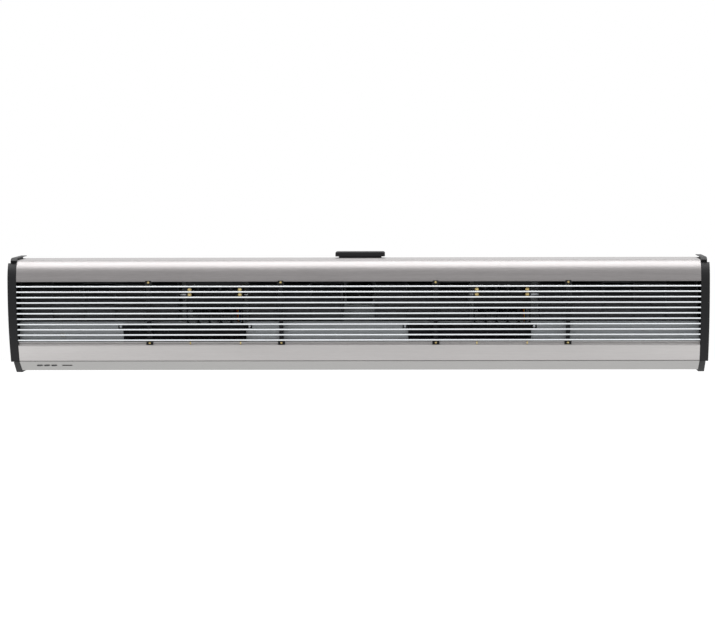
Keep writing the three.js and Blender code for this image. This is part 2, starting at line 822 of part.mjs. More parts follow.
function centrePedestal() {
  const side = [
    [axisDepth, axisHeight - pedestalNeck],
    [axisDepth + pedestalWaistReach, axisHeight - armWaistLow],
    ...scrollSeat(),
    [axisDepth + pedestalWaistReach, axisHeight + armWaistHigh],
    [axisDepth, axisHeight + pedestalNeck],
  ];
  const body = join(
    prism(side, -pedestalHalf, pedestalHalf),
    rod(-pedestalHalf, pedestalHalf, pedestalHead, axisDepth, axisHeight, fineSides),
  );
  const seat = pedestalHalf - centreBearingWidth - 2 * clearance;
  const seatRadius = centreBearingRadius + clearance;
  return cut(
    body,
    rod(-pedestalHalf - 1, pedestalHalf + 1, pedestalBore),
    rod(-pedestalHalf - 1, -seat, seatRadius, axisDepth, axisHeight, fineSides),
    rod(seat, pedestalHalf + 1, seatRadius, axisDepth, axisHeight, fineSides),
  );
}

// ---- Guards and covers ----

function motorGuard(place) {
  const back = guardInset + guardThickness;
  const side = [
    ...sweep(guardInset, guardTop, guardBottom, 8),
    ...sweep(back, guardBottom, guardTop, 8),
  ];
  const plate = prism(side, place - guardWidth / 2, place + guardWidth / 2);
  const pitch = (guardWidth - guardBar) / guardColumns;
  const windows = guardRows.flatMap(([low, high]) =>
    Array.from({ length: guardColumns }, (_, i) => {
      const from = place - guardWidth / 2 + guardBar + i * pitch;
      return block(from, from + pitch - guardBar, 0, stabiliserFace, low, high);
    }),
  );
  return cut(plate, ...windows);
}

// A cover open at the back, with a screw ear at either end.
function controlBox(from) {
  const to = from + boxLength;
  const outline = [
    [boxBack, boxBottom],
    [boxBack, boxTop],
    ...sweep(boxInset, boxTop, boxBottom, 5),
  ];
  const hollow = [
    [boxBack + 1, boxBottom + boxWall],
    [boxBack + 1, boxTop - boxWall],
    ...sweep(boxInset + boxWall, boxTop - boxWall, boxBottom + boxWall, 5),
  ];
  const shell = cut(prism(outline, from, to), prism(hollow, from + boxWall, to - boxWall));
  const earTop = boxTop - boxEarDrop;
  const ear = (x) => block(x, x + boxEar + 1, boxBack - boxWall, boxBack, earTop - boxEarHeight, earTop);
  return join(shell, ear(from - boxEar), ear(to - 1));
}

function capacitor(place) {
  const floor = boxCeiling - capacitorHeight;
  const can = block(
    place - capacitorLength / 2,
    place + capacitorLength / 2,
    boxBack - capacitorDepth,
    boxBack,
    floor,
    boxCeiling,
  );
  const tagPlane = boxBack - tagFront;
  const tag = (x) =>
    block(x - tagWidth / 2, x + tagWidth / 2, tagPlane, tagPlane + tagGauge, floor - tagLength, floor + 1);
  return join(can, tag(place - tagReach), tag(place + tagReach));
}

function controlBoard(place) {
  const front = boxBack - boardThickness;
  const into = front + boardThickness / 2;
  const sheet = block(
    place - controlBoardLength / 2,
    place + controlBoardLength / 2,
    front,
    boxBack,
    boxCeiling - controlBoardHeight,
    boxCeiling,
  );
  const relayTop = boxCeiling - relayDrop;
  const relays = relayPlaces.map((x) =>
    block(place + x, place + x + relaySize, front - relaySize / 2, into, relayTop - relaySize, relayTop),
  );
  const plugTop = boxCeiling - boardPlug.drop;
  const plug = block(
    place + boardPlug.place - boardPlug.width / 2,
    place + boardPlug.place + boardPlug.width / 2,
    front - boardPlug.depth,
    into,
    plugTop - boardPlug.height,
    plugTop,
  );
  return join(sheet, plug, ...relays);
}

// ---- Mains entry ----

function terminalCover() {
  const back = overallDepth - coverBack;
  const front = back - coverDepth;
  const foot = shellTop + clearance;
  const half = coverLength / 2;
  const base = block(
    coverFootInset - half,
    half - coverFootInset,
    front + coverWall,
    back - coverWall,
    foot,
    foot + coverFoot + 1,
  );
  const lid = block(-half, half, front, back, foot + coverFoot, foot + coverFoot + coverHeight);
  const wall = coverFootInset + coverWall;
  const hollow = block(
    wall - half,
    half - wall,
    front + 2 * coverWall,
    back - 2 * coverWall,
    foot - 1,
    foot + coverFoot + coverHeight - coverWall,
  );
  return cut(join(base, lid), hollow);
}

function terminalBlock() {
  const front = insideBack - terminalDepth;
  const half = terminalLength / 2;
  const body = block(-half, half, front, insideBack, terminalTop - terminalHeight, terminalTop);
  const way = terminalLength / terminalWays;
  const wells = Array.from({ length: terminalWays }, (_, i) => {
    const from = i * way - half + terminalRib / 2;
    const to = from + way - terminalRib;
    const floor = terminalTop - wellDepth;
    return block(from, to, front + wellFront, insideBack - wellBack, floor, terminalTop + 1);
  });
  return cut(body, ...wells);
}

// A grommet with a groove for the rear wall.
function cableGland() {
  const outside = shellBack + clearance;
  const points = [
    [glandBore, insideBack - glandFlange],
    [glandRadius, insideBack - glandFlange],
    [glandRadius, insideBack],
    [glandNeck, insideBack],
    [glandNeck, outside],
    [glandRadius, outside],
    [glandRadius, outside + glandFlange],
    [glandBore, outside + glandFlange],
  ].map(([radius, depth]) => new THREE.Vector2(radius, depth));
  points.push(points[0].clone());
  return new THREE.LatheGeometry(points, smallSides).translate(glandPlace, 0, glandHeight);
}

// ---- Wall bracket ----

function wallBracket() {
  const front = overallDepth - bracketGauge;
  const low = mountHeight - bracketHeight / 2;
  const plate = block(-bracketEnd, bracketEnd, front, overallDepth, low, low + bracketHeight);
  const legFront = insideBack - bracketGauge;
  const hookFoot = hookHeight - bracketGauge;
  const hooks = hookPlaces.flatMap((x) => {
    const from = x - hookWidth / 2;
    const to = x + hookWidth / 2;
    return [
      block(from, to, legFront, front + bracketGauge / 2, hookFoot, hookHeight),
      block(from, to, legFront, insideBack, hookFoot, hookHeight + hookRise),
    ];
  });
  const holes = fixingPlaces.flatMap((x) =>
    fixingRows.map((row) =>
      block(
        x - fixingLength / 2,
        x + fixingLength / 2,
        front - 1,
        overallDepth + 1,
        mountHeight + row - fixingWidth / 2,
        mountHeight + row + fixingWidth / 2,
      ),
    ),
  );
  return cut(join(plate, ...hooks), ...holes);
}

// ---- Assembly ----

add("wall_bracket", wallBracket(), finish.galvanised);
add("rear_housing", rearHousing(), finish.galvanised);
add("top_panel", topPanel(), finish.shell);
add("lower_front_panel", lowerFrontPanel(), finish.lower);
add("chin_panel", chinPanel(), finish.lower);
slatHeights.forEach((height, i) => add(`slat_${String(i + 1).padStart(2, "0")}`, slat(height), finish.bar));
ribPlaces.forEach((x, i) => add(`grille_rib_${i + 1}`, grilleRib(x), finish.plastic));
add("scroll", scroll(), finish.galvanised);
add("stabiliser_plate", stabiliserPlate(), finish.galvanised);
add("outlet_vane", outletVane(), finish.shell);
add("centre_pedestal", centrePedestal(), finish.plastic);
add("terminal_cover", terminalCover(), finish.plastic);
add("terminal_block", terminalBlock(), finish.nylon);
add("cable_gland", cableGland(), finish.rubber);
add("key_board", keyBoard(), finish.board, chinFrame);
const boardPlace = boxStarts.right + boxLength - boxWall - controlBoardLength;
add("control_board", controlBoard(boardPlace), finish.board);

const receiver = add("receiver_window", chinInsert(windowWidth, -clearance), finish.lens, chinFrame);
receiver.position.x = windowPlace;
for (const [name, x] of Object.entries(keyPlaces)) {
  add(name, key(), finish.plastic, chinFrame).position.x = x;
}

for (const [end, side] of [["left", -1], ["right", 1]]) {
  const place = side * motorPlace;
  const bearingPlace = side * (capPocket - clearance - endBearingWidth / 2);
  const pedestalPlace = side * (pedestalHalf - clearance - centreBearingWidth / 2);
  const impellerInner = impeller(
    side * (pedestalHalf - centreBearingWidth - stubProud),
    side * innerImpellerEnd,
    side * innerHubEnd,
    innerSegments,
  );
  const impellerOuter = impeller(
    side * (capPocket - stubEndGap),
    side * outerImpellerEnd,
    side * outerHubEnd,
    outerSegments,
  );
  add(`end_cap_${end}`, endCap(side), finish.plastic);
  add(`end_trim_${end}`, endTrim(side), finish.plastic);
  add(`end_bearing_${end}`, bearing(bearingPlace, endBearingRadius, endBearingWidth), finish.rubber);
  const centreBearing = bearing(pedestalPlace, centreBearingRadius, centreBearingWidth);
  add(`centre_bearing_${end}`, centreBearing, finish.steel);
  add(`impeller_outer_${end}`, impellerOuter, finish.fan);
  add(`impeller_inner_${end}`, impellerInner, finish.fan);
  add(`motor_shaft_${end}`, motorShaft(side), finish.steel);
  add(`motor_${end}`, motor(place), finish.motor);
  add(`motor_bracket_${end}`, motorBracket(place), finish.yellowZinc);
  add(`motor_guard_${end}`, motorGuard(place), finish.plastic);
  add(`control_box_${end}`, controlBox(boxStarts[end]), finish.plastic);
  add(`run_capacitor_${end}`, capacitor(boxStarts[end] + boxWall + capacitorLength), finish.nylon);
}

export default curtain;
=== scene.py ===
"""A wall-mounted air curtain of the 1200 mm class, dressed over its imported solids.

Metres in Blender, X along the case, the front facing -Y, Z up. Sizes in this file are millimetres: a
point of the side view is (depth, height), where depth counts from the foremost front towards the
wall and height from the feet of the end caps.
"""

import logging
import math
from collections.abc import Callable, Sequence
from dataclasses import dataclass
from enum import Enum

import bmesh
import bpy
from mathutils import Matrix, Vector


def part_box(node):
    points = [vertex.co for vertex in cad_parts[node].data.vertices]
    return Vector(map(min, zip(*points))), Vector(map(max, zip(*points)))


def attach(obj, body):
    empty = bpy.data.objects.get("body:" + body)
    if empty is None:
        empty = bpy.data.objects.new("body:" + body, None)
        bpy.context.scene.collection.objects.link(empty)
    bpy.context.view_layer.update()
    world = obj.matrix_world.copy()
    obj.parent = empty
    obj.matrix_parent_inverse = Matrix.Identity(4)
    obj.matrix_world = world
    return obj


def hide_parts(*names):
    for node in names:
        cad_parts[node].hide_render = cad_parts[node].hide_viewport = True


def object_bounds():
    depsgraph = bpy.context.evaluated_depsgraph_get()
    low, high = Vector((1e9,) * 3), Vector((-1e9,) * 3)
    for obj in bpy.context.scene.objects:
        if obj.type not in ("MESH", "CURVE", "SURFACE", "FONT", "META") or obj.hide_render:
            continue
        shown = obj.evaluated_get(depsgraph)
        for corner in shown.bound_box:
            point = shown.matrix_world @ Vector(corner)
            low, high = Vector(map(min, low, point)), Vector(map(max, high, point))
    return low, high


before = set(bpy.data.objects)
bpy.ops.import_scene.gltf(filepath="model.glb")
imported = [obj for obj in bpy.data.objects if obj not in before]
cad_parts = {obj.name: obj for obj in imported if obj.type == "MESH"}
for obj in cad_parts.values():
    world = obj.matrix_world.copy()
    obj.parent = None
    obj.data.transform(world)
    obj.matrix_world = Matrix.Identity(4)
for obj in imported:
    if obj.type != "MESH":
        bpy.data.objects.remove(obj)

MM = 0.001
CAD_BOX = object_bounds()
log = logging.getLogger("air_curtain")

Point = tuple[float, float]
Colour = tuple[float, float, float]
Place = tuple[float, float, float]


class Slot(Enum):
    """The record's material slots."""

    SHELL = "painted_shell"
    FRONT = "painted_front"
    BARS = "polished_bars"
    PLASTIC = "black_plastic"
    SHEET = "galvanised_sheet"
    FAN = "fan_plastic"
    MOTOR = "motor_casing"
    STEEL = "bearing_steel"
    ZINC = "yellow_zinc"
    BOARD = "circuit_board"
    NYLON = "pale_nylon"
    RUBBER = "black_rubber"
    LENS = "dark_lens"


class Side(Enum):
    """The two ends of the case."""

    LEFT = -1
    RIGHT = 1

    @property
    def word(self) -> str:
        """The end's name as the solids use it."""
        return self.name.lower()


# ---- Shader maths ----


class Field:
    """A node's output that shader maths is written on."""

    def __init__(self, bench: "Bench", socket: bpy.types.NodeSocket) -> None:
        """Wraps a socket of a bench's tree."""
        self.bench = bench
        self.socket = socket

    def _maths(self, operation: str, first: "Field | float", second: "Field | float") -> "Field":
        """Adds one Math node and returns its value."""
        return self.bench.make("ShaderNodeMath", {"operation": operation}, {0: first, 1: second})

    def __add__(self, other: "Field | float") -> "Field":
        """Sum."""
        return self._maths("ADD", self, other)

    __radd__ = __add__

    def __sub__(self, other: "Field | float") -> "Field":
        """Difference."""
        return self._maths("SUBTRACT", self, other)

    def __rsub__(self, other: float) -> "Field":
        """Difference from a number."""
        return self._maths("SUBTRACT", other, self)

    def __mul__(self, other: "Field | float") -> "Field":
        """Product."""
        return self._maths("MULTIPLY", self, other)

    __rmul__ = __mul__

    def either(self, other: "Field") -> "Field":
        """The greater of two values."""
        return self._maths("MAXIMUM", self, other)

    def clipped(self) -> "Field":
        """The value kept between 0 and 1."""
        return self._maths("MAXIMUM", self._maths("MINIMUM", self, 1.0), 0.0)

    def above(self, edge: float) -> "Field":
        """1 where the value is above an edge, else 0."""
        return self._maths("GREATER_THAN", self, edge)


class Bench:
    """Lays out the nodes of one material or of the world."""

    def __init__(self, owner: bpy.types.Material | bpy.types.World) -> None:
        """Starts with an empty tree.

        Args:
            owner: the material or world that the nodes are for.
        """
        owner.use_nodes = True
        self.owner = owner
        self.tree = owner.node_tree
        self.tree.nodes.clear()

    def node(
        self,
        kind: str,
        settings: dict[str, object] | None = None,
        sockets: dict[str | int, object] | None = None,
    ) -> bpy.types.Node:
        """Makes a node of any type.

        Args:
            kind: the node's type.
            settings: its attributes, which are set first.
            sockets: values or fields by the socket's name or number.

        Returns:
            The node.
        """
        node = self.tree.nodes.new(kind)
        for key, value in (settings or {}).items():
            setattr(node, key, value)
        for key, value in (sockets or {}).items():
            if isinstance(value, Field):
                self.tree.links.new(value.socket, node.inputs[key])
            else:
                node.inputs[key].default_value = value
        return node

    def make(
        self,
        kind: str,
        settings: dict[str, object] | None = None,
        sockets: dict[str | int, object] | None = None,
        output: str | int = 0,
    ) -> Field:
        """Makes a node and hands on one of its outputs.

        Args:
            kind: the node's type.
            settings: its attributes.
            sockets: values or fields by the socket's name or number.
            output: the output that is wanted.

        Returns:
            The wanted output.
        """
        return Field(self, self.node(kind, settings, sockets).outputs[output])

    def place(self, stretch: Place = (1.0, 1.0, 1.0)) -> Field:
        """Object coordinates, stretched for a pattern that runs one way."""
        point = self.make("ShaderNodeTexCoord", output="Object")
        return self.make("ShaderNodeMapping", sockets={"Vector": point, "Scale": stretch})

    def noise(self, scale: float, detail: float = 2.0, stretch: Place = (1.0, 1.0, 1.0)) -> Field:
        """Soft noise from 0 to 1; scale is features per metre.

        Args:
            scale: features per metre.
            detail: octaves.
            stretch: factors on the coordinates.

        Returns:
            The noise.
        """
        sockets = {"Vector": self.place(stretch), "Scale": scale, "Detail": detail}
        return self.make("ShaderNodeTexNoise", sockets=sockets, output="Fac")

    def cells(self, scale: float, output: str = "Distance") -> Field:
        """Voronoi cells; scale is cells per metre."""
        sockets = {"Vector": self.place(), "Scale": scale}
        return self.make("ShaderNodeTexVoronoi", sockets=sockets, output=output)

    def blend(self, share: Field, low: Colour, high: Colour) -> Field:
        """A colour between two.

        Args:
            share: 0 for low and 1 for high.
            low: the first colour.
            high: the second.

        Returns:
            The colour.
        """
        settings = {"data_type": "RGBA", "blend_type": "MIX"}
        return self.make("ShaderNodeMix", settings, {0: share, 6: (*low, 1.0), 7: (*high, 1.0)}, output=2)

    def shade(self, share: Field, colour: Colour, low: float, high: float) -> Field:
        """One colour that drifts between two multiples of itself.

        Args:
            share: 0 for low and 1 for high.
            colour: the middle tone.
            low: the darker multiple.
            high: the lighter multiple.

        Returns:
            The colour.
        """
        return self.blend(share, scaled(colour, low), scaled(colour, high))

    def bump(self, height: Field, depth_mm: float) -> Field:
        """A normal from a height field that is depth_mm deep."""
        sockets = {"Height": height, "Distance": depth_mm * MM, "Strength": 1.0}
        return self.make("ShaderNodeBump", sockets=sockets, output="Normal")

    def end(self, shader: Field, kind: str = "ShaderNodeOutputMaterial") -> bpy.types.ID:
        """Links a shader to the output and returns the material or world.

        Args:
            shader: what the output shows.
            kind: the output node's type.

        Returns:
            The material or world.
        """
        self.node(kind, sockets={"Surface": shader})
        return self.owner

    def surface(self, sockets: dict[str | int, object]) -> bpy.types.Material:
        """Ends the material in a Principled shader with these sockets.

        Args:
            sockets: values or fields by the socket's name.

        Returns:
            The material.
        """
        return self.end(self.make("ShaderNodeBsdfPrincipled", sockets=sockets))


# ---- Finishes ----


def linear(red: int, green: int, blue: int) -> Colour:
    """A display colour from 0 to 255 as linear light.

    Args:
        red: red.
        green: green.
        blue: blue.

    Returns:
        The channels from 0 to 1.
    """
    shares = (value / 255 for value in (red, green, blue))
    return tuple(share / 12.92 if share <= 0.04045 else ((share + 0.055) / 1.055) ** 2.4 for share in shares)


def scaled(colour: Colour, by: float) -> Colour:
    """A colour made lighter or darker by a factor.

    Args:
        colour: a linear colour.
        by: the factor.

    Returns:
        The new colour, none of it above 1.
    """
    return tuple(min(1.0, channel * by) for channel in colour)


@dataclass(frozen=True)
class Finish:
    """A finish with a name of its own."""

    name: str

    def bench(self) -> Bench:
        """An empty bench for its material."""
        return Bench(bpy.data.materials.new(self.name))

    def build(self) -> bpy.types.Material:
        """The material, which each finish lays out for itself."""
        raise NotImplementedError


@dataclass(frozen=True)
class BrushedSheet(Finish):
    """Silver sheet with a fine brushed grain along the case under a thin clear coat."""

    colour: Colour
    metallic: float = 0.8
    roughness: float = 0.34
    contrast: float = 0.12

    def build(self) -> bpy.types.Material:
        """Lays out its nodes.

        Returns:
            The material.
        """
        bench = self.bench()
        cloud = bench.noise(9.0, 3.0)
        broad = bench.noise(420.0, 3.0, (0.03, 1.0, 1.0))
        fine = bench.noise(1500.0, 3.0, (0.05, 1.0, 1.0))
        grain = broad * 0.45 + fine * 0.55
        smear = (bench.noise(40.0, 5.0, (0.5, 1.0, 1.0)) - 0.5).clipped() * 0.6
        tone = ((grain - 0.5) * 2.2 + 0.5 + (cloud - 0.5) * 0.5).clipped()
        return bench.surface({
            "Base Color": bench.shade(tone, self.colour, 1 - self.contrast, 1 + self.contrast),
            "Metallic": self.metallic,
            "Roughness": (grain * 0.14 + (self.roughness - 0.07) + smear * 0.2).clipped(),
            "Normal": bench.bump(grain, 0.006),
            "Coat Weight": 0.08,
            "Coat Roughness": 0.25,
        })


@dataclass(frozen=True)
class PolishedBar(Finish):
    """Bright drawn aluminium with hair-fine lines along its length."""

    colour: Colour
    roughness: float = 0.16

    def build(self) -> bpy.types.Material:
        """Lays out its nodes.

        Returns:
            The material.
        """
        bench = self.bench()
        lines = bench.noise(2400.0, 2.0, (0.012, 1.0, 1.0))
        cloud = bench.noise(14.0, 3.0)
        smear = bench.noise(60.0, 4.0, (0.3, 1.0, 1.0))
        return bench.surface({
            "Base Color": bench.shade(cloud, self.colour, 0.95, 1.04),
            "Metallic": 1.0,
            "Roughness": (lines * 0.06 + smear * 0.06 + (self.roughness - 0.06)).clipped(),
            "Normal": bench.bump(lines, 0.001),
        })


@dataclass(frozen=True)
class MouldedPlastic(Finish):
    """Moulded plastic with a fine spark-eroded grain and a dull bloom."""

    colour: Colour
    roughness: float = 0.5
    grain: float = 0.02
    gloss: float = 0.3

    def build(self) -> bpy.types.Material:
        """Lays out its nodes.

        Returns:
            The material.
        """
        bench = self.bench()
        grain = bench.noise(1500.0, 3.0)
        bloom = bench.noise(26.0, 4.0)
        scuff = (bench.noise(180.0, 6.0, (0.35, 1.0, 1.0)) - 0.6).clipped() * 2.0
        return bench.surface({
            "Base Color": bench.shade((bloom * 0.7 + scuff * 0.3).clipped(), self.colour, 0.86, 1.18),
            "Metallic": 0.0,
            "Roughness": (bloom * 0.14 + (self.roughness - 0.07) + scuff * 0.12).clipped(),
            "Normal": bench.bump(grain, self.grain),
            "Specular IOR Level": self.gloss,
        })


@dataclass(frozen=True)
class GalvanisedSheet(Finish):
    """Zinc-coated sheet: soft spangle and a few dull patches."""

    colour: Colour
    roughness: float = 0.4

    def build(self) -> bpy.types.Material:
        """Lays out its nodes.

        Returns:
            The material.
        """
        bench = self.bench()
        cells = bench.cells(150.0, "Color")
        spangle = bench.make("ShaderNodeSeparateColor", sockets={0: cells}, output="Red")
        fine = bench.noise(420.0, 4.0)
        patch = bench.noise(12.0, 4.0)
        tone = (spangle * 0.4 + fine * 0.25 + patch * 0.35).clipped()
        return bench.surface({
            "Base Color": bench.shade(tone, self.colour, 0.8, 1.15),
            "Metallic": 0.9,
            "Roughness": (spangle * 0.1 + patch * 0.14 + (self.roughness - 0.12)).clipped(),
            "Normal": bench.bump(fine * 0.6 + spangle * 0.4, 0.012),
        })


@dataclass(frozen=True)
class YellowZinc(Finish):
    """Yellow-passivated zinc, drifting from straw to a faint bronze."""

    straw: Colour
    bronze: Colour

    def build(self) -> bpy.types.Material:
        """Lays out its nodes.

        Returns:
            The material.
        """
        bench = self.bench()
        drift = bench.noise(70.0, 3.0)
        fine = bench.noise(700.0, 3.0)
        return bench.surface({
            "Base Color": bench.blend((drift * 1.6 - 0.3).clipped(), self.bronze, self.straw),
            "Metallic": 1.0,
            "Roughness": (fine * 0.16 + 0.24).clipped(),
            "Normal": bench.bump(fine, 0.006),
        })


@dataclass(frozen=True)
class GroundSteel(Finish):
    """Turned or ground steel with rings of fine tool marks."""

    colour: Colour
    roughness: float = 0.26

    def build(self) -> bpy.types.Material:
        """Lays out its nodes.

        Returns:
            The material.
        """
        bench = self.bench()
        marks = bench.noise(3200.0, 1.0, (1.0, 0.08, 0.08))
        haze = bench.noise(90.0, 4.0)
        return bench.surface({
            "Base Color": bench.shade(haze, self.colour, 0.88, 1.08),
            "Metallic": 1.0,
            "Roughness": (marks * 0.1 + haze * 0.08 + (self.roughness - 0.09)).clipped(),
            "Normal": bench.bump(marks, 0.004),
        })


@dataclass(frozen=True)
class CoatedLaminate(Finish):
    """A green circuit board: lacquer over darker copper lanes."""

    lacquer: Colour
    lane: Colour

    def build(self) -> bpy.types.Material:
        """Lays out its nodes.

        Returns:
            The material.
        """
        bench = self.bench()
        lanes = bench.cells(240.0)
        edge = (lanes - 0.28).above(0.0)
        weave = bench.noise(900.0, 2.0)
        return bench.surface({
            "Base Color": bench.blend(edge, self.lane, self.lacquer),
            "Metallic": 0.0,
            "Roughness": (weave * 0.15 + 0.32).clipped(),
            "Normal": bench.bump(edge * 0.6 + weave * 0.4, 0.02),
        })


@dataclass(frozen=True)
class DarkLens(Finish):
    """A deep red-black window that lets infrared through."""

    colour: Colour

    def build(self) -> bpy.types.Material:
        """Lays out its nodes.

        Returns:
            The material.
        """
        bench = self.bench()
        haze = bench.noise(120.0, 4.0)
        hair = bench.noise(1400.0, 2.0, (0.05, 1.0, 1.0))
        return bench.surface({
            "Base Color": bench.shade(haze, self.colour, 0.8, 1.3),
            "Metallic": 0.0,
            "Roughness": (haze * 0.06 + hair * 0.04 + 0.34).clipped(),
            "Specular IOR Level": 0.04,
        })


FINISHES = {
    # The shell and the lower front panel are one silver paint in two copies. The shell's darker copy is
    # painted shade: it stands in for the dark studio front that its upright face reflects. The front's
    # lighter copy is painted light: it stands in for the bright floor that its downward sweep reflects.
    Slot.SHELL: BrushedSheet("silver_sheet_painted_shade", linear(138, 135, 135), metallic=0.85, roughness=0.42),
    Slot.FRONT: BrushedSheet(
        "silver_sheet_painted_light", linear(202, 199, 198), metallic=0.7, roughness=0.36, contrast=0.06),
    Slot.BARS: PolishedBar("polished_aluminium", linear(243, 246, 249)),
    Slot.PLASTIC: MouldedPlastic("black_moulding", linear(32, 32, 34), roughness=0.6, gloss=0.25),
    Slot.SHEET: GalvanisedSheet("galvanised_sheet", linear(146, 149, 151)),
    # The impellers are black plastic. This grey is painted light that lifts the shaded inside of the case.
    Slot.FAN: MouldedPlastic("fan_moulding_painted_light", linear(84, 84, 86), roughness=0.5, grain=0.01),
    Slot.MOTOR: MouldedPlastic("motor_paint", linear(44, 45, 48), roughness=0.36, grain=0.012),
    Slot.STEEL: GroundSteel("ground_steel", linear(196, 198, 201)),
    Slot.ZINC: YellowZinc("yellow_zinc", linear(224, 207, 148), linear(176, 148, 98)),
    Slot.BOARD: CoatedLaminate("board_lacquer", linear(30, 92, 56), linear(20, 62, 40)),
    Slot.NYLON: MouldedPlastic("pale_nylon", linear(222, 219, 210), roughness=0.55, grain=0.012),
    Slot.RUBBER: MouldedPlastic("black_rubber", linear(30, 30, 30), roughness=0.72, grain=0.015),
    Slot.LENS: DarkLens("dark_lens", linear(24, 16, 18)),
}
# The chin's sheet is the same silver paint again, a little darker and greener than the front's copy and far
# lighter than the shell's. Its lightness is painted light from the floor below.
CHIN_SHEET = BrushedSheet("chin_sheet_painted_light", linear(190, 189, 187), metallic=0.7, roughness=0.36, contrast=0.05)
# The pedestal is the same black plastic as the other mouldings. This darker copy is painted shade deep inside
# the case.
SHADED_MOULDING = MouldedPlastic("black_moulding_painted_shade", linear(20, 20, 21), roughness=0.6, gloss=0.2)
# The keys are black plastic like the other mouldings. Their lighter grey is painted light on their faces in
# the chin's slope.
KEY_MOULDING = MouldedPlastic("key_moulding_painted_light", linear(66, 67, 69), roughness=0.5)


class Lead(Enum):
    """A motor's leads, by the colour of their insulation."""

    RED = linear(150, 32, 28)
    YELLOW = linear(206, 170, 40)
    BLUE = linear(40, 62, 120)

    @property
    def word(self) -> str:
        """The colour's name."""
        return self.name.lower()


class Paintshop:
    """Builds each finish once and hands it out."""

    def __init__(self) -> None:
        """Starts with nothing mixed."""
        self.mixed: dict[Finish, bpy.types.Material] = {}

    def finish(self, finish: Finish) -> bpy.types.Material:
        """The material of a finish.

        Args:
            finish: the finish that is wanted.

        Returns:
            Its material, built at the first call.
        """
        if finish not in self.mixed:
            self.mixed[finish] = finish.build()
        return self.mixed[finish]

    def of(self, slot: Slot) -> bpy.types.Material:
        """The material of a slot."""
        return self.finish(FINISHES[slot])

    def wire(self, lead: Lead) -> bpy.types.Material:
        """The insulation of one lead."""
        return self.finish(MouldedPlastic(f"{lead.word}_insulation", lead.value, roughness=0.42, grain=0.006))


SHOP = Paintshop()


# ---- The side view ----


@dataclass(frozen=True)
class SideView:
    """The case's side view in millimetres, with the overall depth read from the frame."""

    mount_height: float = 120.0
    corner_radius: float = 32.0
    corner_height: float = 164.0
    front_radius: float = 215.0
    gauge: float = 1.5
    gap: float = 0.3

    @property
    def depth(self) -> float:
        """Foremost front to the wall plane."""
        return -CAD_BOX[0].y / MM

    def at(self, x: float, depth: float, height: float) -> Vector:
        """A point of the case in the row frame, in metres."""
        return Vector((x * MM, (depth - self.depth) * MM, (height - self.mount_height) * MM))

    def back(self, height: float, inset: float = 0.0) -> float:
        """Depth of the front sweep at a height, set back by an inset."""
        reach = (self.front_radius - inset) ** 2 - (self.corner_height - height) ** 2
        return self.front_radius - math.sqrt(reach)

    def sweep(self, inset: float, start: float, end: float, steps: int) -> list[Point]:
        """Points down or up the front sweep."""
        return [(self.back(height, inset), height) for height in spread(start, end, steps)]

    def corner(self, radius: float, start: float, end: float, steps: int) -> list[Point]:
        """Points round the upper front corner, by angles above the horizontal in radians.

        Args:
            radius: of the arc.
            start: its first angle.
            end: its last.
            steps: facets.

        Returns:
            The points.
        """
        middle = self.corner_radius
        return [
            (middle - radius * math.cos(turn), self.corner_height + radius * math.sin(turn))
            for turn in spread(start, end, steps)
        ]


def spread(start: float, end: float, steps: int) -> list[float]:
    """Evenly spaced numbers, both ends included."""
    return [start + (end - start) * i / steps for i in range(steps + 1)]


def offset_line(line: Sequence[Point], distance: float) -> list[Point]:
    """Offsets an open line to its left, or to its right where the distance is negative.

    Args:
        line: its points.
        distance: how far, in millimetres.

    Returns:
        The new line.
    """
    at = [Vector(point) for point in line]
    moved = []
    for i, point in enumerate(at):
        arriving = (point - at[i - 1] if i else at[1] - point).normalized()
        leaving = (at[i + 1] - point if i < len(at) - 1 else arriving).normalized()
        normal = Vector((-arriving.y - leaving.y, arriving.x + leaving.x))
        moved.append(tuple(point + normal * (distance / (1 + arriving.dot(leaving)))))
    return moved


def eased(line: Sequence[tuple[float, ...]], steps: int = 5) -> list[Point]:
    """An open line whose corners are rounded.

    Args:
        line: points as (depth, height), or (depth, height, radius) where the corner is rounded.
        steps: facets of each rounding.

    Returns:
        The line with an arc at each such corner.
    """
    done: list[Point] = []
    for i, (depth, height, *radius) in enumerate(line):
        here = Vector((depth, height))
        if not radius or i in (0, len(line) - 1):
            done.append((depth, height))
            continue
        before = (Vector(line[i - 1][:2]) - here).normalized()
        after = (Vector(line[i + 1][:2]) - here).normalized()
        half = before.angle(after) / 2
        middle = here + (before + after).normalized() * (radius[0] / math.sin(half))
        start = here + before * (radius[0] / math.tan(half)) - middle
        sweep = math.pi - 2 * half
        side = 1 if start.x * (here - middle).y - start.y * (here - middle).x > 0 else -1
        for turn in spread(0, side * sweep, steps):
            c, s = math.cos(turn), math.sin(turn)
            done.append((middle.x + start.x * c - start.y * s, middle.y + start.x * s + start.y * c))
    return done


def folded(line: Sequence[tuple[float, ...]], thickness: float) -> list[Point]:
    """A folded sheet's outline.

    Args:
        line: its outer face, as for eased.
        thickness: the sheet's gauge, to the left of the line, or to its right where negative.

    Returns:
        The closed outline, its inner bends tighter and its outer bends wider by the gauge.
    """
    bare = [point[:2] for point in line]
    other: list[tuple[float, ...]] = []
    for i, (point, moved) in enumerate(zip(line, offset_line(bare, thickness))):
        if len(point) == 2:
            other.append(moved)
            continue
        arriving = Vector(bare[i]) - Vector(bare[i - 1])
        leaving = Vector(bare[i + 1]) - Vector(bare[i])
        inside = (arriving.cross(leaving) > 0) == (thickness > 0)
        radius = max(point[2] - abs(thickness), 0.15) if inside else point[2] + abs(thickness)
        other.append((*moved, radius))
    return [*eased(line), *reversed(eased(other))]


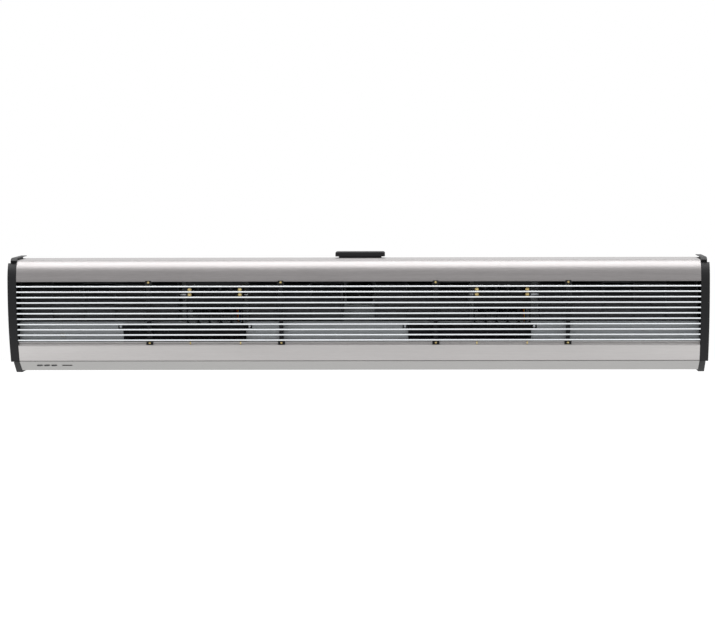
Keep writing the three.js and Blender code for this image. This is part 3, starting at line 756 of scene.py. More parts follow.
def rounded_box(low: Point, high: Point, radius: float, steps: int = 4) -> list[Point]:
    """A closed rectangle with round corners.

    Args:
        low: one corner.
        high: the other.
        radius: of its corners.
        steps: facets of each.

    Returns:
        Its points, anticlockwise.
    """
    points = []
    for (x, y), start in zip(
        ((high[0] - radius, high[1] - radius), (low[0] + radius, high[1] - radius),
         (low[0] + radius, low[1] + radius), (high[0] - radius, low[1] + radius)),
        (0, 90, 180, 270),
    ):
        for turn in spread(start, start + 90, steps):
            angle = math.radians(turn)
            points.append((x + radius * math.cos(angle), y + radius * math.sin(angle)))
    return points


SIDE = SideView()


@dataclass(frozen=True)
class Extent:
    """How far a solid reaches, in the case's millimetres."""

    x0: float
    x1: float
    front: float
    back: float
    bottom: float
    top: float

    @classmethod
    def of(cls, node: str) -> "Extent":
        """Reads a solid's box from the frame.

        Args:
            node: the solid's name.

        Returns:
            Its extent.
        """
        low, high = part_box(node)
        return cls(
            low.x / MM, high.x / MM, SIDE.depth + low.y / MM, SIDE.depth + high.y / MM,
            SIDE.mount_height + low.z / MM, SIDE.mount_height + high.z / MM,
        )

    @property
    def x(self) -> float:
        """Its middle along the case."""
        return (self.x0 + self.x1) / 2

    @property
    def depth(self) -> float:
        """Its middle in depth."""
        return (self.front + self.back) / 2

    @property
    def height(self) -> float:
        """Its middle in height."""
        return (self.bottom + self.top) / 2

    def end(self, side: int) -> float:
        """Its right end where side is positive, else its left."""
        return self.x1 if side > 0 else self.x0


RIBS = tuple(f"grille_rib_{number}" for number in range(1, 5))


# ---- Modelling ----


class Work:
    """A mesh on the bench, in the row frame, shaped by bmesh operators."""

    def __init__(self) -> None:
        """Starts an empty mesh."""
        self.bm = bmesh.new()

    def slab(self, outline: Sequence[Vector], along: Vector) -> list[bmesh.types.BMVert]:
        """Draws a closed outline out along a vector.

        Args:
            outline: the outline's points in the row frame.
            along: how far and which way it is drawn out.

        Returns:
            The vertices of the new solid.
        """
        verts = [self.bm.verts.new(point) for point in outline]
        face = self.bm.faces.new(verts)
        grown = bmesh.ops.extrude_face_region(self.bm, geom=[face])["geom"]
        top = [item for item in grown if isinstance(item, bmesh.types.BMVert)]
        bmesh.ops.translate(self.bm, verts=top, vec=along)
        faces = {face for vert in verts + top for face in vert.link_faces}
        bmesh.ops.recalc_face_normals(self.bm, faces=list(faces))
        return verts + top

    def prism(self, outline: Sequence[Point], x0: float, x1: float) -> list[bmesh.types.BMVert]:
        """A side-view outline drawn out along the case.

        Args:
            outline: (depth, height) points.
            x0: its left end.
            x1: its right.

        Returns:
            The vertices of the new solid.
        """
        along = Vector(((x1 - x0) * MM, 0, 0))
        return self.slab([SIDE.at(x0, depth, height) for depth, height in outline], along)

    def plug(self, outline: Sequence[Point], depth0: float, depth1: float) -> list[bmesh.types.BMVert]:
        """A front-view outline of (x, height) drawn out towards the wall.

        Args:
            outline: (x, height) points.
            depth0: its front.
            depth1: its back.

        Returns:
            The vertices of the new solid.
        """
        along = Vector((0, (depth1 - depth0) * MM, 0))
        return self.slab([SIDE.at(x, depth0, height) for x, height in outline], along)

    def block(self, low: Place, high: Place) -> list[bmesh.types.BMVert]:
        """A box between two (x, depth, height) corners.

        Args:
            low: one corner.
            high: the other.

        Returns:
            The vertices of the new solid.
        """
        a, b = SIDE.at(*low), SIDE.at(*high)
        place = Matrix.Translation((a + b) / 2) @ Matrix.Diagonal((*(b - a), 1.0))
        return bmesh.ops.create_cube(self.bm, size=1.0, matrix=place)["verts"]

    def rod(
        self, x0: float, x1: float, radius: float, depth: float, height: float, sides: int = 40
    ) -> list[bmesh.types.BMVert]:
        """A round bar along the case.

        Args:
            x0: its left end.
            x1: its right.
            radius: of the bar.
            depth: of its axis.
            height: of its axis.
            sides: facets round it.

        Returns:
            The vertices of the new solid.
        """
        middle = SIDE.at((x0 + x1) / 2, depth, height)
        place = Matrix.Translation(middle) @ Matrix.Rotation(math.pi / 2, 4, "Y")
        return bmesh.ops.create_cone(
            self.bm, cap_ends=True, segments=sides, radius1=radius * MM, radius2=radius * MM,
            depth=abs(x1 - x0) * MM, matrix=place,
        )["verts"]

    def turned(self, section: Sequence[Point], depth: float, height: float, sides: int = 48) -> None:
        """A closed section of (radius, x) points turned about a line along the case.

        Args:
            section: (radius, x) points.
            depth: of the axis.
            height: of the axis.
            sides: facets round it.
        """
        verts = [self.bm.verts.new(SIDE.at(x, depth, height + radius)) for radius, x in section]
        edges = [self.bm.edges.new((a, b)) for a, b in zip(verts, verts[1:] + verts[:1])]
        bmesh.ops.spin(
            self.bm, geom=verts + edges, cent=SIDE.at(0, depth, height), axis=(1, 0, 0),
            angle=2 * math.pi, steps=sides, use_merge=True,
        )

    def close(self) -> "Work":
        """Merges doubles and turns every face outwards.

        Returns:
            The same piece of work.
        """
        bmesh.ops.remove_doubles(self.bm, verts=self.bm.verts, dist=2e-6)
        bmesh.ops.recalc_face_normals(self.bm, faces=self.bm.faces)
        return self

    def soften(
        self, radius: float, segments: int = 2, angle: float = 35.0,
        where: Callable[[bmesh.types.BMEdge], bool] = lambda edge: True,
    ) -> "Work":
        """Bevels the sharp edges.

        Args:
            radius: the bevel's offset in millimetres.
            segments: its steps.
            angle: edges whose faces meet at more than this many degrees are bevelled.
            where: which of these edges are taken.

        Returns:
            The same piece of work.
        """
        sharp = [
            edge for edge in self.bm.edges
            if len(edge.link_faces) == 2 and edge.calc_face_angle(0) > math.radians(angle) and where(edge)
        ]
        bmesh.ops.bevel(
            self.bm, geom=sharp, offset=radius * MM, segments=segments, profile=0.5, affect="EDGES",
            material=-1, clamp_overlap=True,
        )
        return self

    def take(self, other: "Work") -> "Work":
        """Lays another mesh beside this one's, as it is.

        Args:
            other: the work that is used up.

        Returns:
            The same piece of work.
        """
        mesh = other.mesh("taken")
        self.bm.from_mesh(mesh)
        bpy.data.meshes.remove(mesh)
        other.bm.free()
        return self

    def carve(self, tool: "Work") -> "Work":
        """Cuts another closed mesh out of this one."""
        return self._boolean(tool, "DIFFERENCE")

    def weld(self, tool: "Work") -> "Work":
        """Joins another closed mesh to this one."""
        return self._boolean(tool, "UNION")

    def _boolean(self, tool: "Work", operation: str) -> "Work":
        """Runs one exact boolean and takes its result.

        Args:
            tool: the other mesh, which is used up.
            operation: the modifier's operation.

        Returns:
            The same piece of work.
        """
        pair = (("base", self), ("tool", tool))
        objects = [bpy.data.objects.new(word, work.mesh(word)) for word, work in pair]
        for obj in objects:
            bpy.context.scene.collection.objects.link(obj)
        modifier = objects[0].modifiers.new("cut", "BOOLEAN")
        modifier.operation = operation
        modifier.solver = "EXACT"
        modifier.object = objects[1]
        result = objects[0].evaluated_get(bpy.context.evaluated_depsgraph_get()).to_mesh()
        self.bm.free()
        self.bm = bmesh.new()
        self.bm.from_mesh(result)
        for obj in objects:
            mesh = obj.data
            bpy.data.objects.remove(obj)
            bpy.data.meshes.remove(mesh)
        tool.bm.free()
        return self.close()

    def mesh(self, name: str) -> bpy.types.Mesh:
        """The mesh as it stands.

        Args:
            name: the mesh's name.

        Returns:
            The mesh.
        """
        self.close()
        made = bpy.data.meshes.new(name)
        self.bm.to_mesh(made)
        return made

    def piece(
        self, name: str, slot: Slot, body: str = "root", replaces: Sequence[str] = (),
        smooth: float = 32.0, material: bpy.types.Material | None = None,
    ) -> bpy.types.Object:
        """Puts the mesh into the scene as a finished piece.

        Args:
            name: the piece's name.
            slot: the material slot that it takes its finish from.
            body: the body that it rides on.
            replaces: the solids that it stands for.
            smooth: edges flatter than this many degrees are shaded smooth.
            material: another material than the slot's own.

        Returns:
            The piece.
        """
        made = self.mesh(name)
        self.bm.free()
        made.shade_smooth()
        made.set_sharp_from_angle(angle=math.radians(smooth))
        made.materials.append(material or SHOP.of(slot))
        obj = bpy.data.objects.new(name, made)
        bpy.context.scene.collection.objects.link(obj)
        normals = obj.modifiers.new("flat_faces", "WEIGHTED_NORMAL")
        normals.keep_sharp = True
        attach(obj, body)
        if replaces:
            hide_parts(*replaces)
        log.info("%s: %d faces, on %s", name, len(made.polygons), body)
        return obj


def copy_of(node: str) -> Work:
    """A merged copy of a solid, its flat faces joined up again.

    Args:
        node: the solid's name.

    Returns:
        The copy, to be worked on.
    """
    work = Work()
    work.bm.from_mesh(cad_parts[node].data)
    bmesh.ops.remove_doubles(work.bm, verts=work.bm.verts, dist=1e-5)
    bmesh.ops.dissolve_limit(
        work.bm, angle_limit=math.radians(1.0), verts=work.bm.verts, edges=work.bm.edges, delimit={"NORMAL"}
    )
    return work


# ---- Screws ----


@dataclass(frozen=True)
class Screw:
    """A pan-head screw with a cross recess and a round washer face (mm)."""

    head: float = 3.4
    height: float = 2.0
    washer: float = 4.4

    def master(self) -> bpy.types.Mesh:
        """One screw head at the origin, facing +Z, in metres.

        Returns:
            Its mesh.
        """
        work = Work()
        head, height, washer = self.head, self.height, self.washer
        section = [
            (0.0, height), (0.45 * head, 0.97 * height), (0.8 * head, 0.76 * height),
            (0.97 * head, 0.4 * height),
            (head, 0.16 * height), (washer, 0.12 * height), (washer, -0.4), (0.0, -0.4),
        ]
        verts = [work.bm.verts.new((radius * MM, 0, z * MM)) for radius, z in section]
        edges = [work.bm.edges.new(pair) for pair in zip(verts, verts[1:])]
        bmesh.ops.spin(
            work.bm, geom=verts + edges, cent=(0, 0, 0), axis=(0, 0, 1), angle=2 * math.pi, steps=18,
            use_merge=True,
        )
        work.close()
        cross = Work()
        long, thin = 0.6 * self.head * MM, 0.15 * self.head * MM
        quarter = [(long, thin), (thin, thin), (thin, long)]
        outline = [
            Vector((x * cos - y * sin, x * sin + y * cos, 0.5 * self.height * MM))
            for cos, sin in ((1, 0), (0, 1), (-1, 0), (0, -1)) for x, y in quarter
        ]
        cross.slab(outline, Vector((0, 0, self.height * MM)))
        return work.carve(cross).mesh("screw")


class Fasteners:
    """Screws of one finish that are kept together as one piece."""

    def __init__(self, screw: Screw) -> None:
        """Starts an empty set.

        Args:
            screw: what each of them looks like.
        """
        self.master = screw.master()
        self.work = Work()
        self.turn = 0.0

    def add(self, x: float, depth: float, height: float, facing: Sequence[float]) -> None:
        """Seats one screw, its head facing along a row-frame direction.

        Args:
            x: its place along the case.
            depth: its depth.
            height: its height.
            facing: the way its head faces.
        """
        self.turn += 0.7
        aim = Vector(facing).to_track_quat("Z", "Y").to_matrix().to_4x4()
        place = Matrix.Translation(SIDE.at(x, depth, height)) @ aim @ Matrix.Rotation(self.turn, 4, "Z")
        known = len(self.work.bm.verts)
        self.work.bm.from_mesh(self.master)
        self.work.bm.verts.ensure_lookup_table()
        bmesh.ops.transform(self.work.bm, matrix=place, verts=self.work.bm.verts[known:])

    def piece(self, name: str, slot: Slot) -> None:
        """Ends the set as one piece."""
        self.work.piece(name, slot)


FORWARD = (0.0, -1.0, 0.0)
UPWARD = (0.0, 0.0, 1.0)


# ---- Sub-assemblies ----


@dataclass
class PaintedShell:
    """Top panel, lower front panel and chin: painted sheet from end to end."""

    top: float = 196.0
    lip: float = 159.4
    lip_depth: float = 9.0
    lip_roll: float = 1.9
    notch_width: float = 10.2
    notch_top: float = 161.4
    lower_top: float = 50.0
    lower_bottom: float = 22.0
    recess_top: float = 55.5
    recess_inset: float = 6.0
    recess_flange: float = 8.0
    lower_foot: float = 64.0
    chin_end: Point = (100.0, 3.7)
    chin_setback: float = 0.9
    outlet_front: float = 112.0
    chin_flange: float = 18.0
    fold: float = 1.6
    edge: float = 0.35
    entry_half: Point = (30.0, 9.0)
    post_span: Point = (-5.0, 19.0)
    post_end: float = 8.7
    post_width: float = 4.0

    def __post_init__(self) -> None:
        """Reads the panels' ends and rear edge from the frame."""
        panel = Extent.of("top_panel")
        self.x0, self.x1, self.back = panel.x0, panel.x1, panel.back

    def build(self) -> None:
        """All three panels."""
        self.shell()
        self.lower()
        self.chin()

    def shell(self) -> None:
        """The sheet over the top and round the upper front corner, with its rolled lower edge."""
        line = [
            (self.back, self.top),
            *SIDE.corner(SIDE.corner_radius, math.pi / 2, 0, 36),
            (0, self.lip, self.lip_roll),
            (self.lip_depth, self.lip),
        ]
        work = Work()
        work.prism(folded(line, SIDE.gauge), self.x0, self.x1)
        middle = Extent.of("terminal_cover").depth
        wide, deep = self.entry_half
        hole = Work()
        hole.block((-wide, middle - deep, self.top - 3), (wide, middle + deep, self.top + 1))
        for rib in RIBS:
            x, half = Extent.of(rib).x, self.notch_width / 2
            hole.block((x - half, -1, self.lip - 1), (x + half, self.lip_depth + 1, self.notch_top))
        work.carve(hole).soften(self.edge, 2, 50)
        # The shell's finish is the silver paint darkened as painted shade.
        work.piece("shell_sheet", Slot.SHELL, replaces=["top_panel"])

    def lower(self) -> None:
        """The lower front panel with the recessed strip along its top."""
        inset = SIDE.back(self.recess_top, self.recess_inset)
        ledge = SIDE.back(self.lower_top, self.recess_inset)
        line = [
            (inset + self.recess_flange, self.recess_top),
            (inset, self.recess_top, self.fold / 2),
            (ledge, self.lower_top + 0.4, self.fold / 2),
            (SIDE.back(self.lower_top), self.lower_top, self.fold),
            *SIDE.sweep(0, self.lower_top, self.lower_bottom, 12)[1:-1],
            (SIDE.back(self.lower_bottom), self.lower_bottom, self.fold),
            (self.lower_foot, self.lower_bottom),
        ]
        work = Work()
        work.prism(folded(line, SIDE.gauge), self.x0, self.x1)
        # The front's finish is the silver paint lightened as painted light from the floor.
        work.soften(self.edge, 2, 50).piece("lower_front_sheet", Slot.FRONT, replaces=["lower_front_panel"])

    @property
    def chin_start(self) -> Point:
        """The chin's front edge."""
        return (SIDE.back(self.lower_bottom), self.lower_bottom - SIDE.gap - SIDE.gauge)

    def chin(self) -> None:
        """The chin, with its openings for the keys and the window and the posts behind them."""
        keys = ChinKeys(self)
        line = [
            keys.slope_point(self.chin_setback),
            (*self.chin_end, self.fold),
            (self.outlet_front, self.chin_end[1], self.fold),
            (self.outlet_front, self.chin_flange),
        ]
        work = Work()
        work.prism(folded(line, SIDE.gauge), self.x0, self.x1)
        holes = Work()
        half_height = keys.height / 2 + SIDE.gap
        openings = [(x, keys.width / 2) for x in keys.places] + [(keys.window_place, keys.window_width / 2)]
        for x, half in openings:
            keys.plate(
                holes, x, half + SIDE.gap, half_height, -SIDE.gauge, 2 * SIDE.gauge, keys.collar_corner)
        work.carve(holes)
        work.soften(self.edge, 2, 50)
        board, (low, high) = Extent.of("key_board"), self.post_span
        outline = [(low, SIDE.gauge), (high, SIDE.gauge), (high, self.post_end), (low, self.post_end)]
        for x0 in (board.x0, board.x1 - self.post_width):
            points = [keys.at(x0, along, inward) for along, inward in outline]
            work.slab(points, Vector((self.post_width * MM, 0, 0)))
        # The chin takes its own copy of the silver paint, lightened as painted light from the floor.
        work.piece("chin_plate", Slot.FRONT, replaces=["chin_panel"], material=SHOP.finish(CHIN_SHEET))


@dataclass
class ChinKeys:
    """Three push keys and the receiver window in the chin's slope."""

    shell: PaintedShell
    slope_place: float = 20.4
    width: float = 9.6
    height: float = 6.0
    proud: float = 0.8
    window_width: float = 17.0
    slant: float = 1.3
    corner: float = 1.1
    collar: float = 1.0
    collar_start: float = 1.8
    collar_end: float = 3.0
    collar_corner: float = 0.8
    stem_half: float = 1.5
    stem_start: float = 2.6
    stem_end: float = 7.2

    def __post_init__(self) -> None:
        """Works out the slope and where its pieces sit."""
        start, end = self.shell.chin_start, self.shell.chin_end
        self.angle = math.atan2(start[1] - end[1], end[0] - start[0])
        self.middle = self.slope_point(self.slope_place)
        self.names = ("key_off", "key_low", "key_high")
        self.places = [Extent.of(name).x for name in self.names]
        self.window_place = Extent.of("receiver_window").x

    def slope_point(self, way: float) -> Point:
        """A point of the chin's outer face by its way from the front edge."""
        start = self.shell.chin_start
        return (start[0] + way * math.cos(self.angle), start[1] - way * math.sin(self.angle))

    def at(self, x: float, along: float, inward: float) -> Vector:
        """A point by its way along the slope and inwards from the chin's outer face.

        Args:
            x: its place along the case.
            along: its way down the slope from the keys' middle.
            inward: its way into the case.

        Returns:
            The point.
        """
        cos, sin = math.cos(self.angle), math.sin(self.angle)
        depth, height = self.middle
        return SIDE.at(x, depth + along * cos + inward * sin, height - along * sin + inward * cos)

    def plate(
        self, work: Work, x: float, half_x: float, half: float, inward0: float, inward1: float,
        radius: float = 0.0, slant: float = 0.0,
    ) -> list[bmesh.types.BMVert]:
        """A plate in the slope, its corners rounded and its ends slanted.

        Args:
            work: what it is added to.
            x: its middle.
            half_x: half its width.
            half: half its height.
            inward0: its outer face.
            inward1: its inner face.
            radius: of its corners.
            slant: how far its ends lean.

        Returns:
            The vertices of the new solid.
        """
        outline = rounded_box((-half_x, -half), (half_x, half), max(radius, 0.05))
        lean, narrow = slant / half, 1 - slant / half_x
        points = [self.at(x + px * narrow - lean * py, py, inward0) for px, py in outline]
        along = self.at(0, 0, inward1) - self.at(0, 0, inward0)
        return work.slab(points, along)

    def insert(self, x: float, half_width: float, proud: float, rounding: float) -> Work:
        """A face in the slope with its collar behind the sheet.

        Args:
            x: its middle along the case.
            half_width: half the face's width.
            proud: how far the face stands out of the slope.
            rounding: the bevel of its edges.

        Returns:
            The work, to be gone on with.
        """
        work, half, wider = Work(), self.height / 2, self.collar
        self.plate(work, x, half_width, half, -proud, self.collar_end, self.corner, self.slant)
        work.soften(rounding, 3, 50)
        self.plate(
            work, x, half_width + wider, half + wider, self.collar_start, self.collar_end, self.collar_corner)
        return work

    def build(self) -> None:
        """The keys, each on its own body, and the window."""
        stem = self.stem_half
        for name, x in zip(self.names, self.places):
            work = self.insert(x, self.width / 2, self.proud, 0.35)
            self.plate(work, x, stem, stem, self.stem_start, self.stem_end, 0.3)
            body = name.replace("key_", "") + "_key"
            # Each key cap takes the lighter copy of the black moulding, painted light.
            work.piece(f"{name}_cap", Slot.PLASTIC, body, [name], material=SHOP.finish(KEY_MOULDING))
        window = self.insert(self.window_place, self.window_width / 2, 0.0, 0.3)
        window.piece("receiver_lens", Slot.LENS, replaces=["receiver_window"])


@dataclass
class EndCap:
    """A moulded end cap with its front trim."""

    side: Side
    trim_depth: float = 12.0
    trim_wall: float = 2.0
    trim_top: float = 191.6
    trim_bottom: float = 20.5
    rise: float = 4.5
    wall: float = 4.2
    cap_back: float = 0.5
    top: float = 196.0
    foot: float = 106.0
    toe: float = 1.0
    rounding: float = 1.6
    trim_rounding: float = 2.4
    lip_start: float = 34.0
    lip_gauge: float = 1.1
    panel_rim: float = 9.0
    panel_sink: float = 0.7
    bearing_radius: float = 15.0
    bearing_wall: float = 3.5
    pin_radius: float = 2.8
    pin_wall: float = 3.2
    screw_places: tuple[Point, ...] = ((168.0, 180.0), (168.0, 24.0), (48.0, 168.0), (84.0, 30.0))

    def __post_init__(self) -> None:
        """Reads the cap's and the trim's ends from the frame."""
        side, solid = self.side.value, Extent.of(f"end_cap_{self.side.word}")
        self.outer, self.inner = abs(solid.end(side)), abs(solid.end(-side))
        self.trim_outer = abs(Extent.of(f"end_trim_{self.side.word}").end(side))

    def outline(self, rim: float = 0.0) -> list[Point]:
        """The cap's side view, or that of the pocket inside its rim.

        Args:
            rim: the inset of a pocket, or 0 for the cap.

        Returns:
            Its (depth, height) points.
        """
        back = SIDE.depth - self.cap_back - rim
        rise = self.rise - rim
        behind = self.trim_depth + SIDE.gap + rim
        radius = SIDE.corner_radius
        step = math.asin((self.trim_top + SIDE.gap - SIDE.corner_height) / radius) + rim / radius
        toe = [] if rim else [(SIDE.back(self.trim_bottom) + self.toe, self.trim_bottom - SIDE.gap)]
        return [
            (back, rim),
            (back, self.top + rise),
            *SIDE.corner(radius + rise, math.pi / 2, step, 14),
            *SIDE.corner(radius - behind, step, 0, 12),
            *SIDE.sweep(behind, SIDE.corner_height, self.trim_bottom, 26)[1:],
            *toe,
            (self.foot + rim, rim),
        ]

    def across(
        self, work: Work, outline: Sequence[Point], inner: float, outer: float
    ) -> list[bmesh.types.BMVert]:
        """Draws an outline out between two distances from the middle of the case.

        Args:
            work: what it is added to.
            outline: (depth, height) points.
            inner: its end near the middle.
            outer: its other end.

        Returns:
            The vertices of the new solid.
        """
        side = self.side.value
        return work.prism(outline, *sorted((side * inner, side * outer)))

    def build(self) -> None:
        """The cap, its screws and the trim."""
        self.cap()
        self.trim()

    def cap(self) -> None:
        """The cap: a rim round a side plate, with seats for the bearing and the vane's pin."""
        side = self.side.value
        work = Work()
        self.across(work, self.outline(), self.inner, self.outer)
        edge = SIDE.at(side * self.outer, 0, 0).x
        work.close().soften(self.rounding, 4, 40, lambda e: all(abs(v.co.x - edge) < 1e-5 for v in e.verts))
        pocket, slot = Work(), Work()
        self.across(pocket, self.outline(self.wall), self.inner - 1, self.outer - self.wall)
        self.across(pocket, self.outline(self.panel_rim), self.outer - self.panel_sink, self.outer + 1)
        slot.block(
            (side * (self.inner - 2), self.lip_start, self.top - 0.4),
            (side * (self.outer - self.wall - 0.05), SIDE.depth + 1, self.top + self.rise - self.lip_gauge),
        )
        work.carve(pocket).carve(slot)
        seats = (
            (f"end_bearing_{self.side.word}", self.bearing_radius, self.bearing_wall),
            ("outlet_vane", self.pin_radius, self.pin_wall),
        )
        for name, radius, wall in seats:
            held = Extent.of(name)
            section = [
                (radius + SIDE.gap, self.inner), (radius + wall, self.inner),
                (radius + wall, self.outer - self.wall + 0.4),
                (radius + SIDE.gap, self.outer - self.wall + 0.4),
            ]
            ring = Work()
            ring.turned([(r, side * x) for r, x in section], held.depth, held.height)
            work.weld(ring.close())
        work.soften(0.3, 2, 55, lambda e: abs(e.verts[0].co.x) / MM < self.inner + 0.2)
        work.piece(f"cap_{self.side.word}", Slot.PLASTIC, replaces=[f"end_cap_{self.side.word}"])
        screws = Fasteners(Screw(head=3.6, height=1.6, washer=4.2))
        for depth, height in self.screw_places:
            screws.add(side * (self.outer - self.panel_sink + 0.05), depth, height, (side, 0, 0))
        screws.piece(f"cap_screws_{self.side.word}", Slot.STEEL)

    def trim(self) -> None:
        """The hollow moulding in front of the cap, rounded along its outer edge."""
        turn = math.asin((self.trim_top - SIDE.corner_height) / SIDE.corner_radius)

        def band(front: float, back: float) -> list[Point]:
            """The trim's side view between two insets.

            Args:
                front: the inset of its front.
                back: the inset of its back.

            Returns:
                Its points.
            """
            radius = SIDE.corner_radius
            return [
                *SIDE.corner(radius - front, turn, 0, 14),
                *SIDE.sweep(front, SIDE.corner_height, self.trim_bottom, 24)[1:],
                *SIDE.sweep(back, self.trim_bottom, SIDE.corner_height, 24),
                *SIDE.corner(radius - back, 0, turn, 14)[1:],
            ]

        work = Work()
        self.across(work, band(0, self.trim_depth), self.inner, self.trim_outer)
        edge = SIDE.at(self.side.value * self.trim_outer, 0, 0).x

        def outer(e: bmesh.types.BMEdge) -> bool:
            """True for the front edge on the outer side.

            Args:
                e: an edge.

            Returns:
                Whether it is rounded.
            """
            middle = (e.verts[0].co + e.verts[1].co) / 2
            height = SIDE.mount_height + middle.z / MM
            depth = SIDE.depth + middle.y / MM
            front = SIDE.back(min(height, SIDE.corner_height)) + 3 if height < SIDE.corner_height else 12
            return abs(middle.x - edge) < 1e-5 and depth < front

        work.close().soften(self.trim_rounding, 5, 25, outer)
        work.soften(0.5, 2, 45)
        hollow = Work()
        wall = self.trim_wall
        self.across(hollow, band(wall, self.trim_depth + 2), self.inner + wall, self.trim_outer - wall)
        work.carve(hollow)
        work.piece(f"trim_{self.side.word}", Slot.PLASTIC, replaces=[f"end_trim_{self.side.word}"])


@dataclass
class Grille:
    """Eleven polished bars on four ribs."""

    bars: int = 11
    thickness: float = 2.9
    bar_depth: float = 12.0
    rear_round: float = 0.8
    tab_width: float = 9.4
    tab_face: float = 1.8
    tab_low: float = 155.6
    tab_top: float = 161.0
    tab_back: float = 3.6
    upper_screw: float = 158.4
    lower_screw: float = 53.4
    lower_tab: float = 53.6
    lower_inset: float = 4.1

    def build(self) -> None:
        """The bars, the ribs and the ribs' screws."""
        for number in range(1, self.bars + 1):
            self.bar(f"slat_{number:02d}", number)
        for number, name in enumerate(RIBS, 1):
            x, half = Extent.of(name).x, self.tab_width / 2
            work = copy_of(name)
            work.block((x - half, self.tab_face, self.tab_low), (x + half, self.tab_back, self.tab_top))
            work.soften(0.25, 1, 50).piece(f"rib_{number}", Slot.PLASTIC, replaces=[name])
        self.screws()

    def bar(self, node: str, number: int) -> None:
        """One bar: a half-round nose and eased rear edges.

        Args:
            node: the solid's name.
            number: its place from the top.
        """
        solid = Extent.of(node)
        front, back, height = solid.front, solid.front + self.bar_depth, solid.height
        half, ease = self.thickness / 2, self.rear_round
        nose = [
            (front + half - half * math.cos(turn), height + half * math.sin(turn))
            for turn in spread(math.pi / 2, -math.pi / 2, 14)
        ]
        rear = [
            (back - ease + ease * math.cos(turn), height + side * (half - ease) + ease * math.sin(turn))
            for side, start in ((-1, -math.pi / 2), (1, 0))
            for turn in spread(start, start + math.pi / 2, 4)
        ]
        work = Work()
        work.prism([*nose, *rear], solid.x0, solid.x1)
        work.piece(f"bar_{number:02d}", Slot.BARS, replaces=[node])

    def screws(self) -> None:
        """A yellow-passivated screw on the tab at each end of each rib."""
        screws = Fasteners(Screw(head=1.6, height=1.2, washer=1.9))
        tilt = math.asin((SIDE.corner_height - self.lower_tab) / SIDE.front_radius)
        facing = (0, -math.cos(tilt), -math.sin(tilt))
        for rib in RIBS:
            x = Extent.of(rib).x
            screws.add(x, self.tab_face, self.upper_screw, FORWARD)
            screws.add(x, SIDE.back(self.lower_screw, self.lower_inset), self.lower_screw, facing)
        screws.piece("rib_screws", Slot.ZINC)


